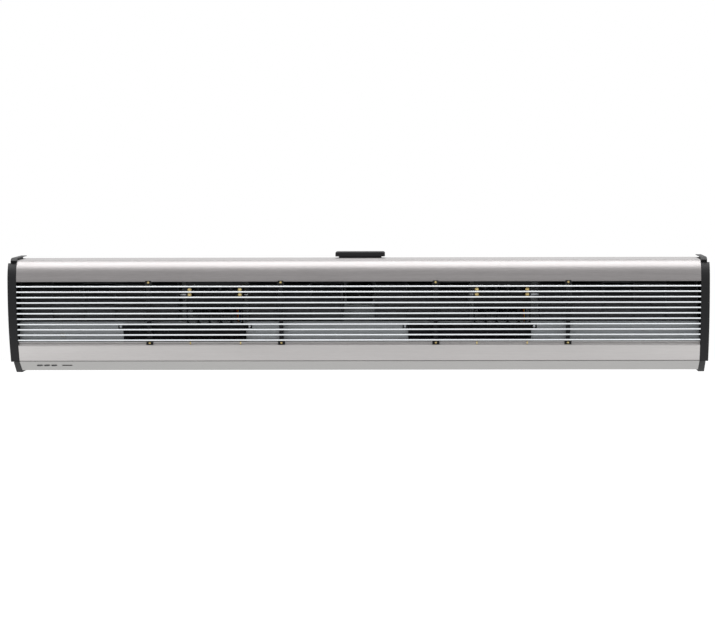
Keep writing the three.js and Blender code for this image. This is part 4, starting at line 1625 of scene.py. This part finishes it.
@dataclass
class AirPath:
    """Scroll, stabiliser plate and outlet vane."""

    axis: Point = (95.0, 135.0)
    wheel: float = 50.0
    gap: float = 6.0
    growth: float = 16.0
    start: float = 16.0
    end: float = 100.0
    tongue: float = 90.5
    tongue_radius: float = 2.1
    tongue_back: float = 10.7
    tongue_drop: float = 4.5
    scroll_foot: Point = (170.0, 40.0)
    plate_foot: float = 23.8
    plate_bend: tuple[float, float, float] = (113.8, 24.0, 6.0)
    plate_screws: tuple[float, ...] = (-560.5, -470.0, -40.0, 50.0, 470.0, 560.5)
    plate_screw_height: float = 66.0
    clip_span: Point = (-514.0, -507.0)
    clip_heights: Point = (63.0, 69.5)
    clip_depth: float = 3.2
    chord: float = 32.0
    vane_thickness: float = 3.0
    pin_radius: float = 2.5
    pin_length: float = 12.0
    blade_margin: float = 7.0

    def scroll_point(self, degrees: float) -> Point:
        """A point of the scroll by its angle from straight up, towards the wall.

        Args:
            degrees: the angle.

        Returns:
            The point as (depth, height).
        """
        radius = self.wheel + self.gap + self.growth * (degrees - self.start) / (self.end - self.start)
        turn = math.radians(degrees)
        return (self.axis[0] + radius * math.sin(turn), self.axis[1] + radius * math.cos(turn))

    def build(self) -> None:
        """All three."""
        self.scroll()
        self.stabiliser()
        self.vane()

    def scroll(self) -> None:
        """The duct's rear wall."""
        solid = Extent.of("scroll")
        top = solid.top - SIDE.gauge
        line = [
            (solid.front, top),
            (self.scroll_point(self.start)[0] - 5, top),
            *[self.scroll_point(degrees) for degrees in spread(self.start, self.end, 40)],
            self.scroll_foot,
            (self.scroll_foot[0], solid.bottom),
        ]
        work = Work()
        work.prism(folded(line, SIDE.gauge), solid.x0, solid.x1)
        work.soften(0.3, 1, 60).piece("scroll_sheet", Slot.SHEET, replaces=["scroll"], smooth=25)

    def stabiliser(self) -> None:
        """The galvanised plate in front, with its rolled tongue, screws and clip."""
        solid = Extent.of("stabiliser_plate")
        face, radius, back, drop = solid.front, self.tongue_radius, self.tongue_back, self.tongue_drop
        tilt = math.atan2(drop, back)
        line = [
            (face, self.plate_foot),
            *[(face + radius * (1 - math.cos(turn)), self.tongue - radius * (1 - math.sin(turn)))
              for turn in spread(0, math.pi / 2 + tilt, 8)],
            (face + back, self.tongue - drop),
            self.plate_bend,
            (self.plate_bend[0], solid.bottom),
        ]
        work = Work()
        work.prism(folded(line, -SIDE.gauge), solid.x0, solid.x1)
        work.soften(0.3, 1, 60).piece("stabiliser_sheet", Slot.SHEET, replaces=["stabiliser_plate"])
        screws = Fasteners(Screw(head=2.0, height=1.4, washer=2.6))
        for x in self.plate_screws:
            screws.add(x, face, self.plate_screw_height, FORWARD)
        screws.piece("stabiliser_screws", Slot.STEEL)
        clip, (x0, x1), (bottom, top) = Work(), self.clip_span, self.clip_heights
        clip.block((x0, face - self.clip_depth, bottom), (x1, face + 0.05, top))
        clip.soften(0.8, 3, 50).piece("wire_clip", Slot.NYLON)

    def vane(self) -> None:
        """The adjustable blade in the outlet: a thin lens with rounded edges, on two pins."""
        solid = Extent.of("outlet_vane")
        depth, height, half = solid.depth, solid.height, self.chord / 2
        front = [
            (depth - self.vane_thickness / 2 * (1 - share * share) - 0.3, height + share * (half - 0.2))
            for share in spread(-1, 1, 16)
        ]
        rear = [(2 * depth - d, h) for d, h in reversed(front)]
        work = Work()
        work.prism([*front, *rear], solid.x0 + self.blade_margin, solid.x1 - self.blade_margin)
        work.close().soften(0.25, 2, 50)
        work.rod(solid.x0, solid.x0 + self.pin_length, self.pin_radius, depth, height, 24)
        work.rod(solid.x1 - self.pin_length, solid.x1, self.pin_radius, depth, height, 24)
        work.piece("vane_blade", Slot.SHELL, "vane", ["outlet_vane"])


class Drum(Enum):
    """The two impellers on a motor, by their number of segments."""

    OUTER = 5
    INNER = 3

    @property
    def word(self) -> str:
        """The impeller's name as the solids use it."""
        return self.name.lower()


@dataclass
class Drive:
    """One motor with its two impellers, shaft, bracket, guard and leads."""

    side: Side
    wheel: float = 50.0
    blades: int = 34
    blade_root: float = 39.0
    blade_tip: float = 49.2
    blade_gauge: float = 0.9
    blade_lead: float = 0.2
    blade_bow: float = 1.6
    ring_width: float = 2.4
    ring_inner: float = 38.0
    hub: float = 11.0
    stagger: float = 3.0
    axis: Point = (95.0, 135.0)
    motor_radius: float = 45.0
    motor_half: float = 41.8
    boss: float = 12.0
    boss_length: float = 5.2
    guard_inset: float = 12.6
    guard_gauge: float = 1.8
    guard_top: float = 163.0
    guard_bottom: float = 55.8
    guard_rows: tuple[Point, ...] = ((131, 150), (88, 112), (59, 69))
    guard_columns: int = 5
    guard_bar: float = 3.0
    window_radius: float = 4.0
    bolt_circle: float = 33.0
    rib_pitch: float = 6.2
    ribs: int = 8
    toe_place: float = 43.1
    toe_half: float = 1.1
    toe_heights: Point = (50.9, 55.3)
    arm_screws: Point = (145.4, 137.0)
    lead_start: float = 36.5
    lead_pitch: float = 1.9
    lead_radius: float = 0.8

    @property
    def word(self) -> str:
        """Which end of the case it is at."""
        return self.side.word

    def build(self) -> None:
        """All of its pieces."""
        self.place = Extent.of(f"motor_{self.word}").x
        for drum in Drum:
            self.impeller(drum)
        self.motor()
        self.bracket()
        self.guard()
        self.leads()
        copy_of(f"motor_shaft_{self.word}").soften(0.4, 2, 50).piece(
            f"shaft_{self.word}", Slot.STEEL, f"rotor_{self.word}", [f"motor_shaft_{self.word}"])

    def blade(self) -> list[Point]:
        """The outline of a blade as (depth, height), bowed between its root and its tip.

        Returns:
            Its points, round the axis.
        """
        middle = []
        for share in spread(0, 1, 5):
            radius = self.blade_root + (self.blade_tip - self.blade_root) * share
            turn = self.blade_lead * share
            bow = self.blade_bow * math.sin(math.pi * share)
            middle.append((radius * math.cos(turn) + bow * math.sin(turn),
                           radius * math.sin(turn) - bow * math.cos(turn)))
        half = self.blade_gauge / 2
        outline = [*offset_line(middle, half), *reversed(offset_line(middle, -half))]
        return [(self.axis[0] + depth, self.axis[1] + height) for depth, height in outline]

    def impeller(self, drum: Drum) -> None:
        """One impeller: bowed blades between rings, each segment turned a little from the last.

        Args:
            drum: which of the two.
        """
        name, segments = f"impeller_{drum.word}_{self.word}", drum.value
        rim = [v.co.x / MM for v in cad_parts[name].data.vertices
               if (v.co.y / MM + SIDE.depth - self.axis[0]) ** 2
               + (v.co.z / MM + SIDE.mount_height - self.axis[1]) ** 2 > (self.wheel - 1) ** 2]
        x0, x1 = min(rim), max(rim)
        centre = SIDE.at(0, *self.axis)
        work = Work()
        pitch = (x1 - x0 - self.ring_width) / segments
        for i in range(segments):
            start = x0 + self.ring_width / 2 + i * pitch
            verts = work.prism(self.blade(), start, start + pitch)
            geom = list({item for vert in verts for item in (vert, *vert.link_edges, *vert.link_faces)})
            turn = Matrix.Rotation(math.radians(self.stagger * i), 3, "X")
            bmesh.ops.rotate(work.bm, cent=centre, matrix=turn, verts=verts)
            share = (self.blades - 1) / self.blades
            bmesh.ops.spin(
                work.bm, geom=geom, cent=centre, axis=(1, 0, 0), angle=2 * math.pi * share,
                steps=self.blades - 1, use_duplicate=True)
        for i in range(1, segments):
            place = x0 + self.ring_width / 2 + i * pitch
            self.ring(work, place, self.ring_inner)
        for place in (x0 + self.ring_width / 2, x1 - self.ring_width / 2):
            self.end_plate(work, place)
        self.hubs(work, Extent.of(name), x0, x1)
        work.piece(f"fan_{drum.word}_{self.word}", Slot.FAN, f"rotor_{self.word}", [name], smooth=28)

    def ring(self, work: Work, place: float, inner: float) -> None:
        """A ring with a raised rim at its outer edge.

        Args:
            work: what it is added to.
            place: its middle.
            inner: its bore's radius.
        """
        half, wheel = self.ring_width / 2, self.wheel
        left = [
            (inner, half * 0.6), (wheel - 1.2, half * 0.6), (wheel - 0.9, half), (wheel - 0.2, half),
            (wheel, half * 0.7),
        ]
        section = [*((r, place - x) for r, x in left), *((r, place + x) for r, x in reversed(left))]
        work.turned(section, *self.axis)

    def end_plate(self, work: Work, place: float) -> None:
        """A dished plate from the rim to the hub.

        Args:
            work: what it is added to.
            place: its middle.
        """
        half, wheel = self.ring_width / 2, self.wheel
        left = [
            (4.2, half), (self.hub + 1, half), (self.hub + 3, half * 0.4), (34, half * 0.4), (36, half),
            (wheel - 0.3, half), (wheel, half * 0.7),
        ]
        section = [*((r, place - x) for r, x in left), *((r, place + x) for r, x in reversed(left))]
        work.turned(section, *self.axis)

    def hubs(self, work: Work, solid: Extent, x0: float, x1: float) -> None:
        """The hub that takes the shaft, and the stub at the other end.

        Args:
            work: what they are added to.
            solid: the impeller's extent.
            x0: the left rim.
            x1: the right rim.
        """
        stub_left = x0 - solid.x0 > solid.x1 - x1
        hub = self.hub
        for start, inward, has_stub in ((x0, 1, stub_left), (x1, -1, not stub_left)):
            bore = 0.0 if has_stub else 4.3
            section = [(bore, 0.2), (hub - 0.8, 0.2), (hub, 1), (hub, 15), (hub - 1, 16), (bore, 16)]
            work.turned([(r, start + inward * x) for r, x in section], *self.axis)
            if has_stub:
                tip, root = solid.end(-inward), start + inward
                work.turned([(0, tip), (3.4, tip), (4, tip + inward * 0.6), (4, root), (0, root)], *self.axis)

    def motor(self) -> None:
        """The motor: a ribbed can between two end shields, with its bosses and tie bolts."""
        half, radius, boss = self.motor_half, self.motor_radius, self.boss
        end = half + self.boss_length
        section = [(4.3, -end), (boss - 1, -end), (boss, -end + 1), (boss, -half - 1), (boss + 3, -half)]
        section += [(radius - 7, -half), (radius - 3, -half + 1.4), (radius - 0.6, -half + 5)]
        section += [(radius - 0.6, -half + 13), (radius, -half + 13.4), (radius, -half + 16)]
        for i in range(self.ribs):
            rib = -half + 18 + i * self.rib_pitch
            section += [(radius - 1.4, rib), (radius - 1.4, rib + 2.6)]
            section += [(radius, rib + 3), (radius, rib + 5.6)]
        section += [(radius, half - 13.4), (radius - 0.6, half - 13), (radius - 0.6, half - 5)]
        section += [(radius - 3, half - 1.4), (radius - 7, half), (boss + 3, half), (boss, half + 1)]
        section += [(boss, end - 1), (boss - 1, end), (4.3, end)]
        work = Work()
        work.turned([(r, self.place + x) for r, x in section], *self.axis, sides=56)
        work.piece(f"motor_can_{self.word}", Slot.MOTOR, replaces=[f"motor_{self.word}"])
        bolts = Fasteners(Screw(head=2.4, height=1.4, washer=3.0))
        for side in (-1, 1):
            for i in range(4):
                turn = math.pi / 4 + i * math.pi / 2
                depth = self.axis[0] + self.bolt_circle * math.cos(turn)
                height = self.axis[1] + self.bolt_circle * math.sin(turn)
                bolts.add(self.place + side * (half - 0.05), depth, height, (side, 0, 0))
        bolts.piece(f"motor_bolts_{self.word}", Slot.STEEL)

    def bracket(self) -> None:
        """The yellow-passivated bracket, with a screw through each arm's head."""
        name = f"motor_bracket_{self.word}"
        copy_of(name).soften(0.3, 1, 50).piece(f"bracket_{self.word}", Slot.ZINC, replaces=[name])
        toes, (bottom, top) = Work(), self.toe_heights
        front = SIDE.back(53.2, 6.0) - 1.0
        for side in (-1, 1):
            x = self.place + side * self.toe_place
            toes.block((x - self.toe_half, front, bottom), (x + self.toe_half, front + 1.2, top))
        toes.soften(0.4, 2, 50).piece(f"bracket_toes_{self.word}", Slot.ZINC)
        screws = Fasteners(Screw(head=2.6, height=1.5, washer=3.1))
        for side in (-1, 1):
            for height in self.arm_screws:
                x = self.place + side * (self.motor_half + 1.3)
                screws.add(x, SIDE.back(height, self.guard_inset) - 0.05, height, FORWARD)
        screws.piece(f"bracket_screws_{self.word}", Slot.ZINC)

    def guard(self) -> None:
        """The slotted guard: rows of windows with round lower corners."""
        solid = Extent.of(f"motor_guard_{self.word}")
        x0, x1 = solid.x0, solid.x1
        back = self.guard_inset + self.guard_gauge
        work = Work()
        outline = [*SIDE.sweep(self.guard_inset, self.guard_top, self.guard_bottom, 24),
                   *SIDE.sweep(back, self.guard_bottom, self.guard_top, 24)]
        work.prism(outline, x0, x1)
        windows = Work()
        pitch = (x1 - x0 - self.guard_bar) / self.guard_columns
        for bottom, top in self.guard_rows:
            for i in range(self.guard_columns):
                start = x0 + self.guard_bar + i * pitch
                end = start + pitch - self.guard_bar
                radius = min(self.window_radius, (top - bottom) / 2 - 0.5)
                windows.plug(rounded_box((start, bottom), (end, top), radius, 5), 5, 60)
        work.carve(windows).soften(0.3, 1, 50)
        work.piece(f"guard_{self.word}", Slot.PLASTIC, replaces=[f"motor_guard_{self.word}"], smooth=25)

    def leads(self) -> None:
        """Three leads side by side, from just off the motor's front down to just over the cover."""
        for i, lead in enumerate(Lead):
            x = self.place + self.lead_start + i * self.lead_pitch
            path = [
                (x, 54.2, 112.0), (x, 50.5, 108.0), (x + 0.5, 50.0, 100.0), (x + 1.0, 52.5, 93.0),
                (x + 1.0, 57.0, 89.6), (x + 1.0, 60.4, 88.9),
            ]
            Wire(self.lead_radius, path).piece(f"lead_{lead.word}_{self.word}", lead)


@dataclass
class Wire:
    """An insulated wire along a path (mm)."""

    radius: float
    path: list[Place]

    def piece(self, name: str, lead: Lead) -> None:
        """Ends the wire as a piece: a section swept along a smooth curve.

        Args:
            name: the piece's name.
            lead: its insulation.
        """
        curve = bpy.data.curves.new(name, "CURVE")
        curve.dimensions = "3D"
        curve.bevel_depth = self.radius * MM
        curve.bevel_resolution = 3
        curve.use_fill_caps = True
        curve.resolution_u = 6
        spline = curve.splines.new("NURBS")
        spline.points.add(len(self.path) - 1)
        for point, place in zip(spline.points, self.path):
            point.co = (*SIDE.at(*place), 1.0)
        spline.use_endpoint_u = True
        spline.order_u = 4
        holder = bpy.data.objects.new(name + "_curve", curve)
        bpy.context.scene.collection.objects.link(holder)
        work = Work()
        work.bm.from_mesh(holder.evaluated_get(bpy.context.evaluated_depsgraph_get()).to_mesh())
        bpy.data.objects.remove(holder)
        work.piece(name, Slot.RUBBER, material=SHOP.wire(lead), smooth=60)


@dataclass
class Covers:
    """Covers over the electrics and what they hide."""

    box_inset: float = 19.6
    box_wall: float = 2.0
    ear_height: float = 81.0
    ear: float = 10.0
    ear_screw: float = 4.8
    rounding: float = 1.4

    def build(self) -> None:
        """Both covers, their screws, boards and capacitors."""
        screws = Fasteners(Screw(head=1.9, height=1.3, washer=2.3))
        for side in Side:
            name = f"control_box_{side.word}"
            solid = Extent.of(name)
            self.cover(name, side, solid)
            for x in (solid.x0 + self.ear_screw, solid.x1 - self.ear_screw):
                screws.add(x, solid.back - self.box_wall, self.ear_height, FORWARD)
        screws.piece("cover_screws", Slot.STEEL)
        self.cores()

    def cover(self, name: str, side: Side, solid: Extent) -> None:
        """A moulded cover with rounded front edges, a hollow back and two ears.

        Args:
            name: the solid's name.
            side: which end it is at.
            solid: its extent.
        """
        back, bottom, top = solid.back, solid.bottom, solid.top
        x0, x1 = solid.x0 + self.ear, solid.x1 - self.ear
        work = Work()
        work.prism([(back, bottom), (back, top), *SIDE.sweep(self.box_inset, top, bottom, 12)], x0, x1)
        rear = SIDE.at(0, back, 0).y
        work.close().soften(self.rounding, 3, 50, lambda e: min(v.co.y for v in e.verts) < rear - 2e-4)
        wall = self.box_wall
        hollow = Work()
        line = SIDE.sweep(self.box_inset + wall, top - wall, bottom + wall, 12)
        hollow.prism([(back + 1, bottom + wall), (back + 1, top - wall), *line], x0 + wall, x1 - wall)
        work.carve(hollow)
        for start, end in ((solid.x0, x0 + 0.5), (x1 - 0.5, solid.x1)):
            ear = Work()
            ear.block((start, back - wall, top - 10), (end, back, top - 2))
            work.take(ear.soften(0.6, 2, 50))
        work.piece(f"cover_{side.word}", Slot.PLASTIC, replaces=[name])

    def cores(self) -> None:
        """Boards and capacitors, with eased edges."""
        for name, slot in (("key_board", Slot.BOARD), ("control_board", Slot.BOARD),
                           ("run_capacitor_left", Slot.NYLON), ("run_capacitor_right", Slot.NYLON)):
            copy_of(name).soften(0.25, 2, 50).piece(f"{name}_body", slot, replaces=[name])


@dataclass
class MainsEntry:
    """The cover on the top, the terminals under it and the grommet in the rear wall."""

    lid_radius: float = 4.2
    lid_crown: float = 3.0
    foot_inset: float = 6.0
    foot: float = 2.3
    wall: float = 2.0
    screw_inset: float = 10.0
    screw_sink: float = 1.25

    def build(self) -> None:
        """All three and the cover's screws."""
        solid = Extent.of("terminal_cover")
        x1, front, back, bottom, top = solid.x1, solid.front, solid.back, solid.bottom, solid.top
        work = Work()
        work.block((-x1, front, bottom + self.foot), (x1, back, top))
        work.soften(self.lid_radius, 5, 50, lambda e: abs(e.verts[0].co.z - e.verts[1].co.z) > 1e-4)
        level = SIDE.at(0, 0, top).z - 1e-5
        work.soften(self.lid_crown, 5, 50, lambda e: min(v.co.z for v in e.verts) > level)
        base, wall = Work(), self.wall
        half = x1 - self.foot_inset
        base.block((-half, front + wall, bottom), (half, back - wall, bottom + self.foot + 1))
        base.soften(1.5, 3, 50, lambda e: abs(e.verts[0].co.z - e.verts[1].co.z) > 1e-4)
        work.weld(base)
        hollow = Work()
        half -= wall
        hollow.block((-half, front + 2 * wall, bottom - 1), (half, back - 2 * wall, top - wall))
        work.carve(hollow)
        work.soften(0.3, 2, 55)
        work.piece("mains_cover", Slot.PLASTIC, replaces=["terminal_cover"])
        screws = Fasteners(Screw(head=3.0, height=1.2, washer=3.2))
        for x in (self.screw_inset - x1, x1 - self.screw_inset):
            screws.add(x, solid.depth, top - self.screw_sink, UPWARD)
        screws.piece("mains_cover_screws", Slot.STEEL)
        block = copy_of("terminal_block").soften(0.3, 1, 50)
        block.piece("terminals", Slot.NYLON, replaces=["terminal_block"])
        copy_of("cable_gland").soften(0.4, 2, 50).piece("grommet", Slot.RUBBER, replaces=["cable_gland"])


@dataclass
class Carcass:
    """What carries the rest: rear housing, wall bracket, pedestal and bearings."""

    def build(self) -> None:
        """Each piece, a merged copy of its solid with eased edges."""
        rows = (
            ("rear_housing", "rear_sheet", Slot.SHEET, 0.3),
            ("wall_bracket", "wall_plate", Slot.SHEET, 0.3),
            ("centre_bearing_left", "bearing_centre_left", Slot.STEEL, 0.5),
            ("centre_bearing_right", "bearing_centre_right", Slot.STEEL, 0.5),
            ("end_bearing_left", "bearing_end_left", Slot.RUBBER, 0.5),
            ("end_bearing_right", "bearing_end_right", Slot.RUBBER, 0.5),
        )
        for node, name, slot, radius in rows:
            copy_of(node).soften(radius, 2, 50).piece(name, slot, replaces=[node], smooth=30)
        # The pedestal takes the darker copy of the black moulding, painted shade.
        copy_of("centre_pedestal").soften(0.5, 2, 50).piece(
            "pedestal", Slot.PLASTIC, replaces=["centre_pedestal"], smooth=30,
            material=SHOP.finish(SHADED_MOULDING),
        )


# ---- Studio ----


@dataclass(frozen=True)
class SoftBox:
    """A rectangular lamp: its place, the point it is aimed at, its size in metres and its watts."""

    name: str
    place: Place
    aim: Place
    size: Point
    power: float

    def hang(self) -> None:
        """Puts the lamp into the scene."""
        data = bpy.data.lights.new(self.name, "AREA")
        data.shape = "RECTANGLE"
        data.size, data.size_y = self.size
        data.energy = self.power
        lamp = bpy.data.objects.new(self.name, data)
        lamp.location = self.place
        lamp.rotation_euler = (Vector(self.place) - Vector(self.aim)).to_track_quat("Z", "Y").to_euler()
        bpy.context.scene.collection.objects.link(lamp)


@dataclass
class Studio:
    """Camera, lamps, floor and the white world."""

    camera_distance: float = 7.5
    camera_height: float = 0.275
    camera_side: float = 0.18
    camera_dip: float = 2.298
    camera_turn: float = 1.377
    camera_roll: float = 0.14
    focal_pixels: float = 4396.0
    image_width: int = 715
    sensor: float = 36.0
    floor_drop: float = 3.7
    floor_size: float = 60.0
    ambient: float = 0.42
    camera_glow: float = 0.4
    floor_glow: float = 0.3

    def build(self) -> None:
        """Everything round the object."""
        bpy.context.scene.view_settings.view_transform = "Standard"
        self.camera()
        self.lamps()
        self.world()
        self.floor()

    def camera(self) -> None:
        """A long lens in front, a little above the case and to its right, turned towards it."""
        data = bpy.data.cameras.new("camera")
        data.sensor_width = self.sensor
        data.lens = self.focal_pixels / self.image_width * self.sensor
        data.clip_end = 200.0
        camera = bpy.data.objects.new("camera", data)
        camera.location = (self.camera_side, CAD_BOX[0].y - self.camera_distance, self.camera_height)
        turns = (90 - self.camera_dip, self.camera_roll, self.camera_turn)
        camera.rotation_euler = [math.radians(angle) for angle in turns]
        bpy.context.scene.collection.objects.link(camera)
        bpy.context.scene.camera = camera

    def lamps(self) -> None:
        """One broad soft box over the case, a weak one round the camera, and two at each end."""
        boxes = [
            SoftBox("overhead", (0.0, 0.42, 2.1), (0.0, 0.2, 0.0), (3.6, 2.1), 96.0),
            SoftBox("front_fill", (0.0, -8.8, 0.6), (0.0, -0.1, 0.0), (5.0, 3.0), 30.0),
        ]
        for side in (-1, 1):
            beside, below = (side * 3.4, -1.6, 0.9), (side * 1.4, -0.75, -1.6)
            boxes += [
                SoftBox(f"side_fill_{side + 1}", beside, (0.0, -0.1, 0.0), (1.4, 1.8), 12.0),
                SoftBox(f"end_fill_{side + 1}", below, (side * 0.6, -0.15, 0.0), (0.6, 0.8), 5.5),
            ]
        for box in boxes:
            box.hang()

    def world(self) -> None:
        """White to the camera and in reflections, softer as light."""
        world = bpy.data.worlds.new("studio")
        bpy.context.scene.world = world
        bench = Bench(world)
        seen = bench.make("ShaderNodeLightPath", output="Is Camera Ray")
        for kind in ("Is Transmission Ray", "Is Glossy Ray"):
            seen = seen.either(bench.make("ShaderNodeLightPath", output=kind))
        sockets = {"Color": (1.0, 1.0, 1.0, 1.0), "Strength": seen * (1 - self.ambient) + self.ambient}
        bench.end(bench.make("ShaderNodeBackground", sockets=sockets), "ShaderNodeOutputWorld")

    def floor(self) -> None:
        """A pale floor well below the case, white to the camera where nothing shades it."""
        bench = Bench(bpy.data.materials.new("pale_floor"))
        seen = bench.make("ShaderNodeLightPath", output="Is Camera Ray") * self.camera_glow
        for kind in ("Is Camera Ray", "Is Glossy Ray", "Is Transmission Ray"):
            seen = seen + bench.make("ShaderNodeLightPath", output=kind) * self.floor_glow
        cloud = bench.noise(0.6, 2.0)
        pale = bench.make("ShaderNodeBsdfPrincipled", sockets={
            "Base Color": bench.blend(cloud, (0.84, 0.84, 0.84), (0.88, 0.88, 0.88)),
            "Roughness": 0.9,
            "Specular IOR Level": 0.1,
        })
        glow = bench.make("ShaderNodeEmission", sockets={"Strength": seen})
        material = bench.end(bench.make("ShaderNodeAddShader", sockets={0: pale, 1: glow}))
        work = Work()
        size = self.floor_size
        level = CAD_BOX[0].z - self.floor_drop
        bmesh.ops.create_grid(
            work.bm, x_segments=1, y_segments=1, size=size, matrix=Matrix.Translation((0, size / 4, level))
        )
        mesh = bpy.data.meshes.new("floor")
        work.bm.to_mesh(mesh)
        work.bm.free()
        mesh.materials.append(material)
        floor = bpy.data.objects.new("floor", mesh)
        bpy.context.scene.collection.objects.link(floor)


def write_size() -> None:
    """Brings the view layer up to date."""
    bpy.context.view_layer.update()


def main() -> None:
    """Builds the studio and each sub-assembly in order."""
    logging.basicConfig(level=logging.INFO, format="%(message)s")
    Studio().build()
    shell = PaintedShell()
    shell.build()
    ChinKeys(shell).build()
    for side in Side:
        EndCap(side).build()
    Grille().build()
    AirPath().build()
    for side in Side:
        Drive(side).build()
    Covers().build()
    MainsEntry().build()
    Carcass().build()
    write_size()


if __name__ == "__main__":
    main()
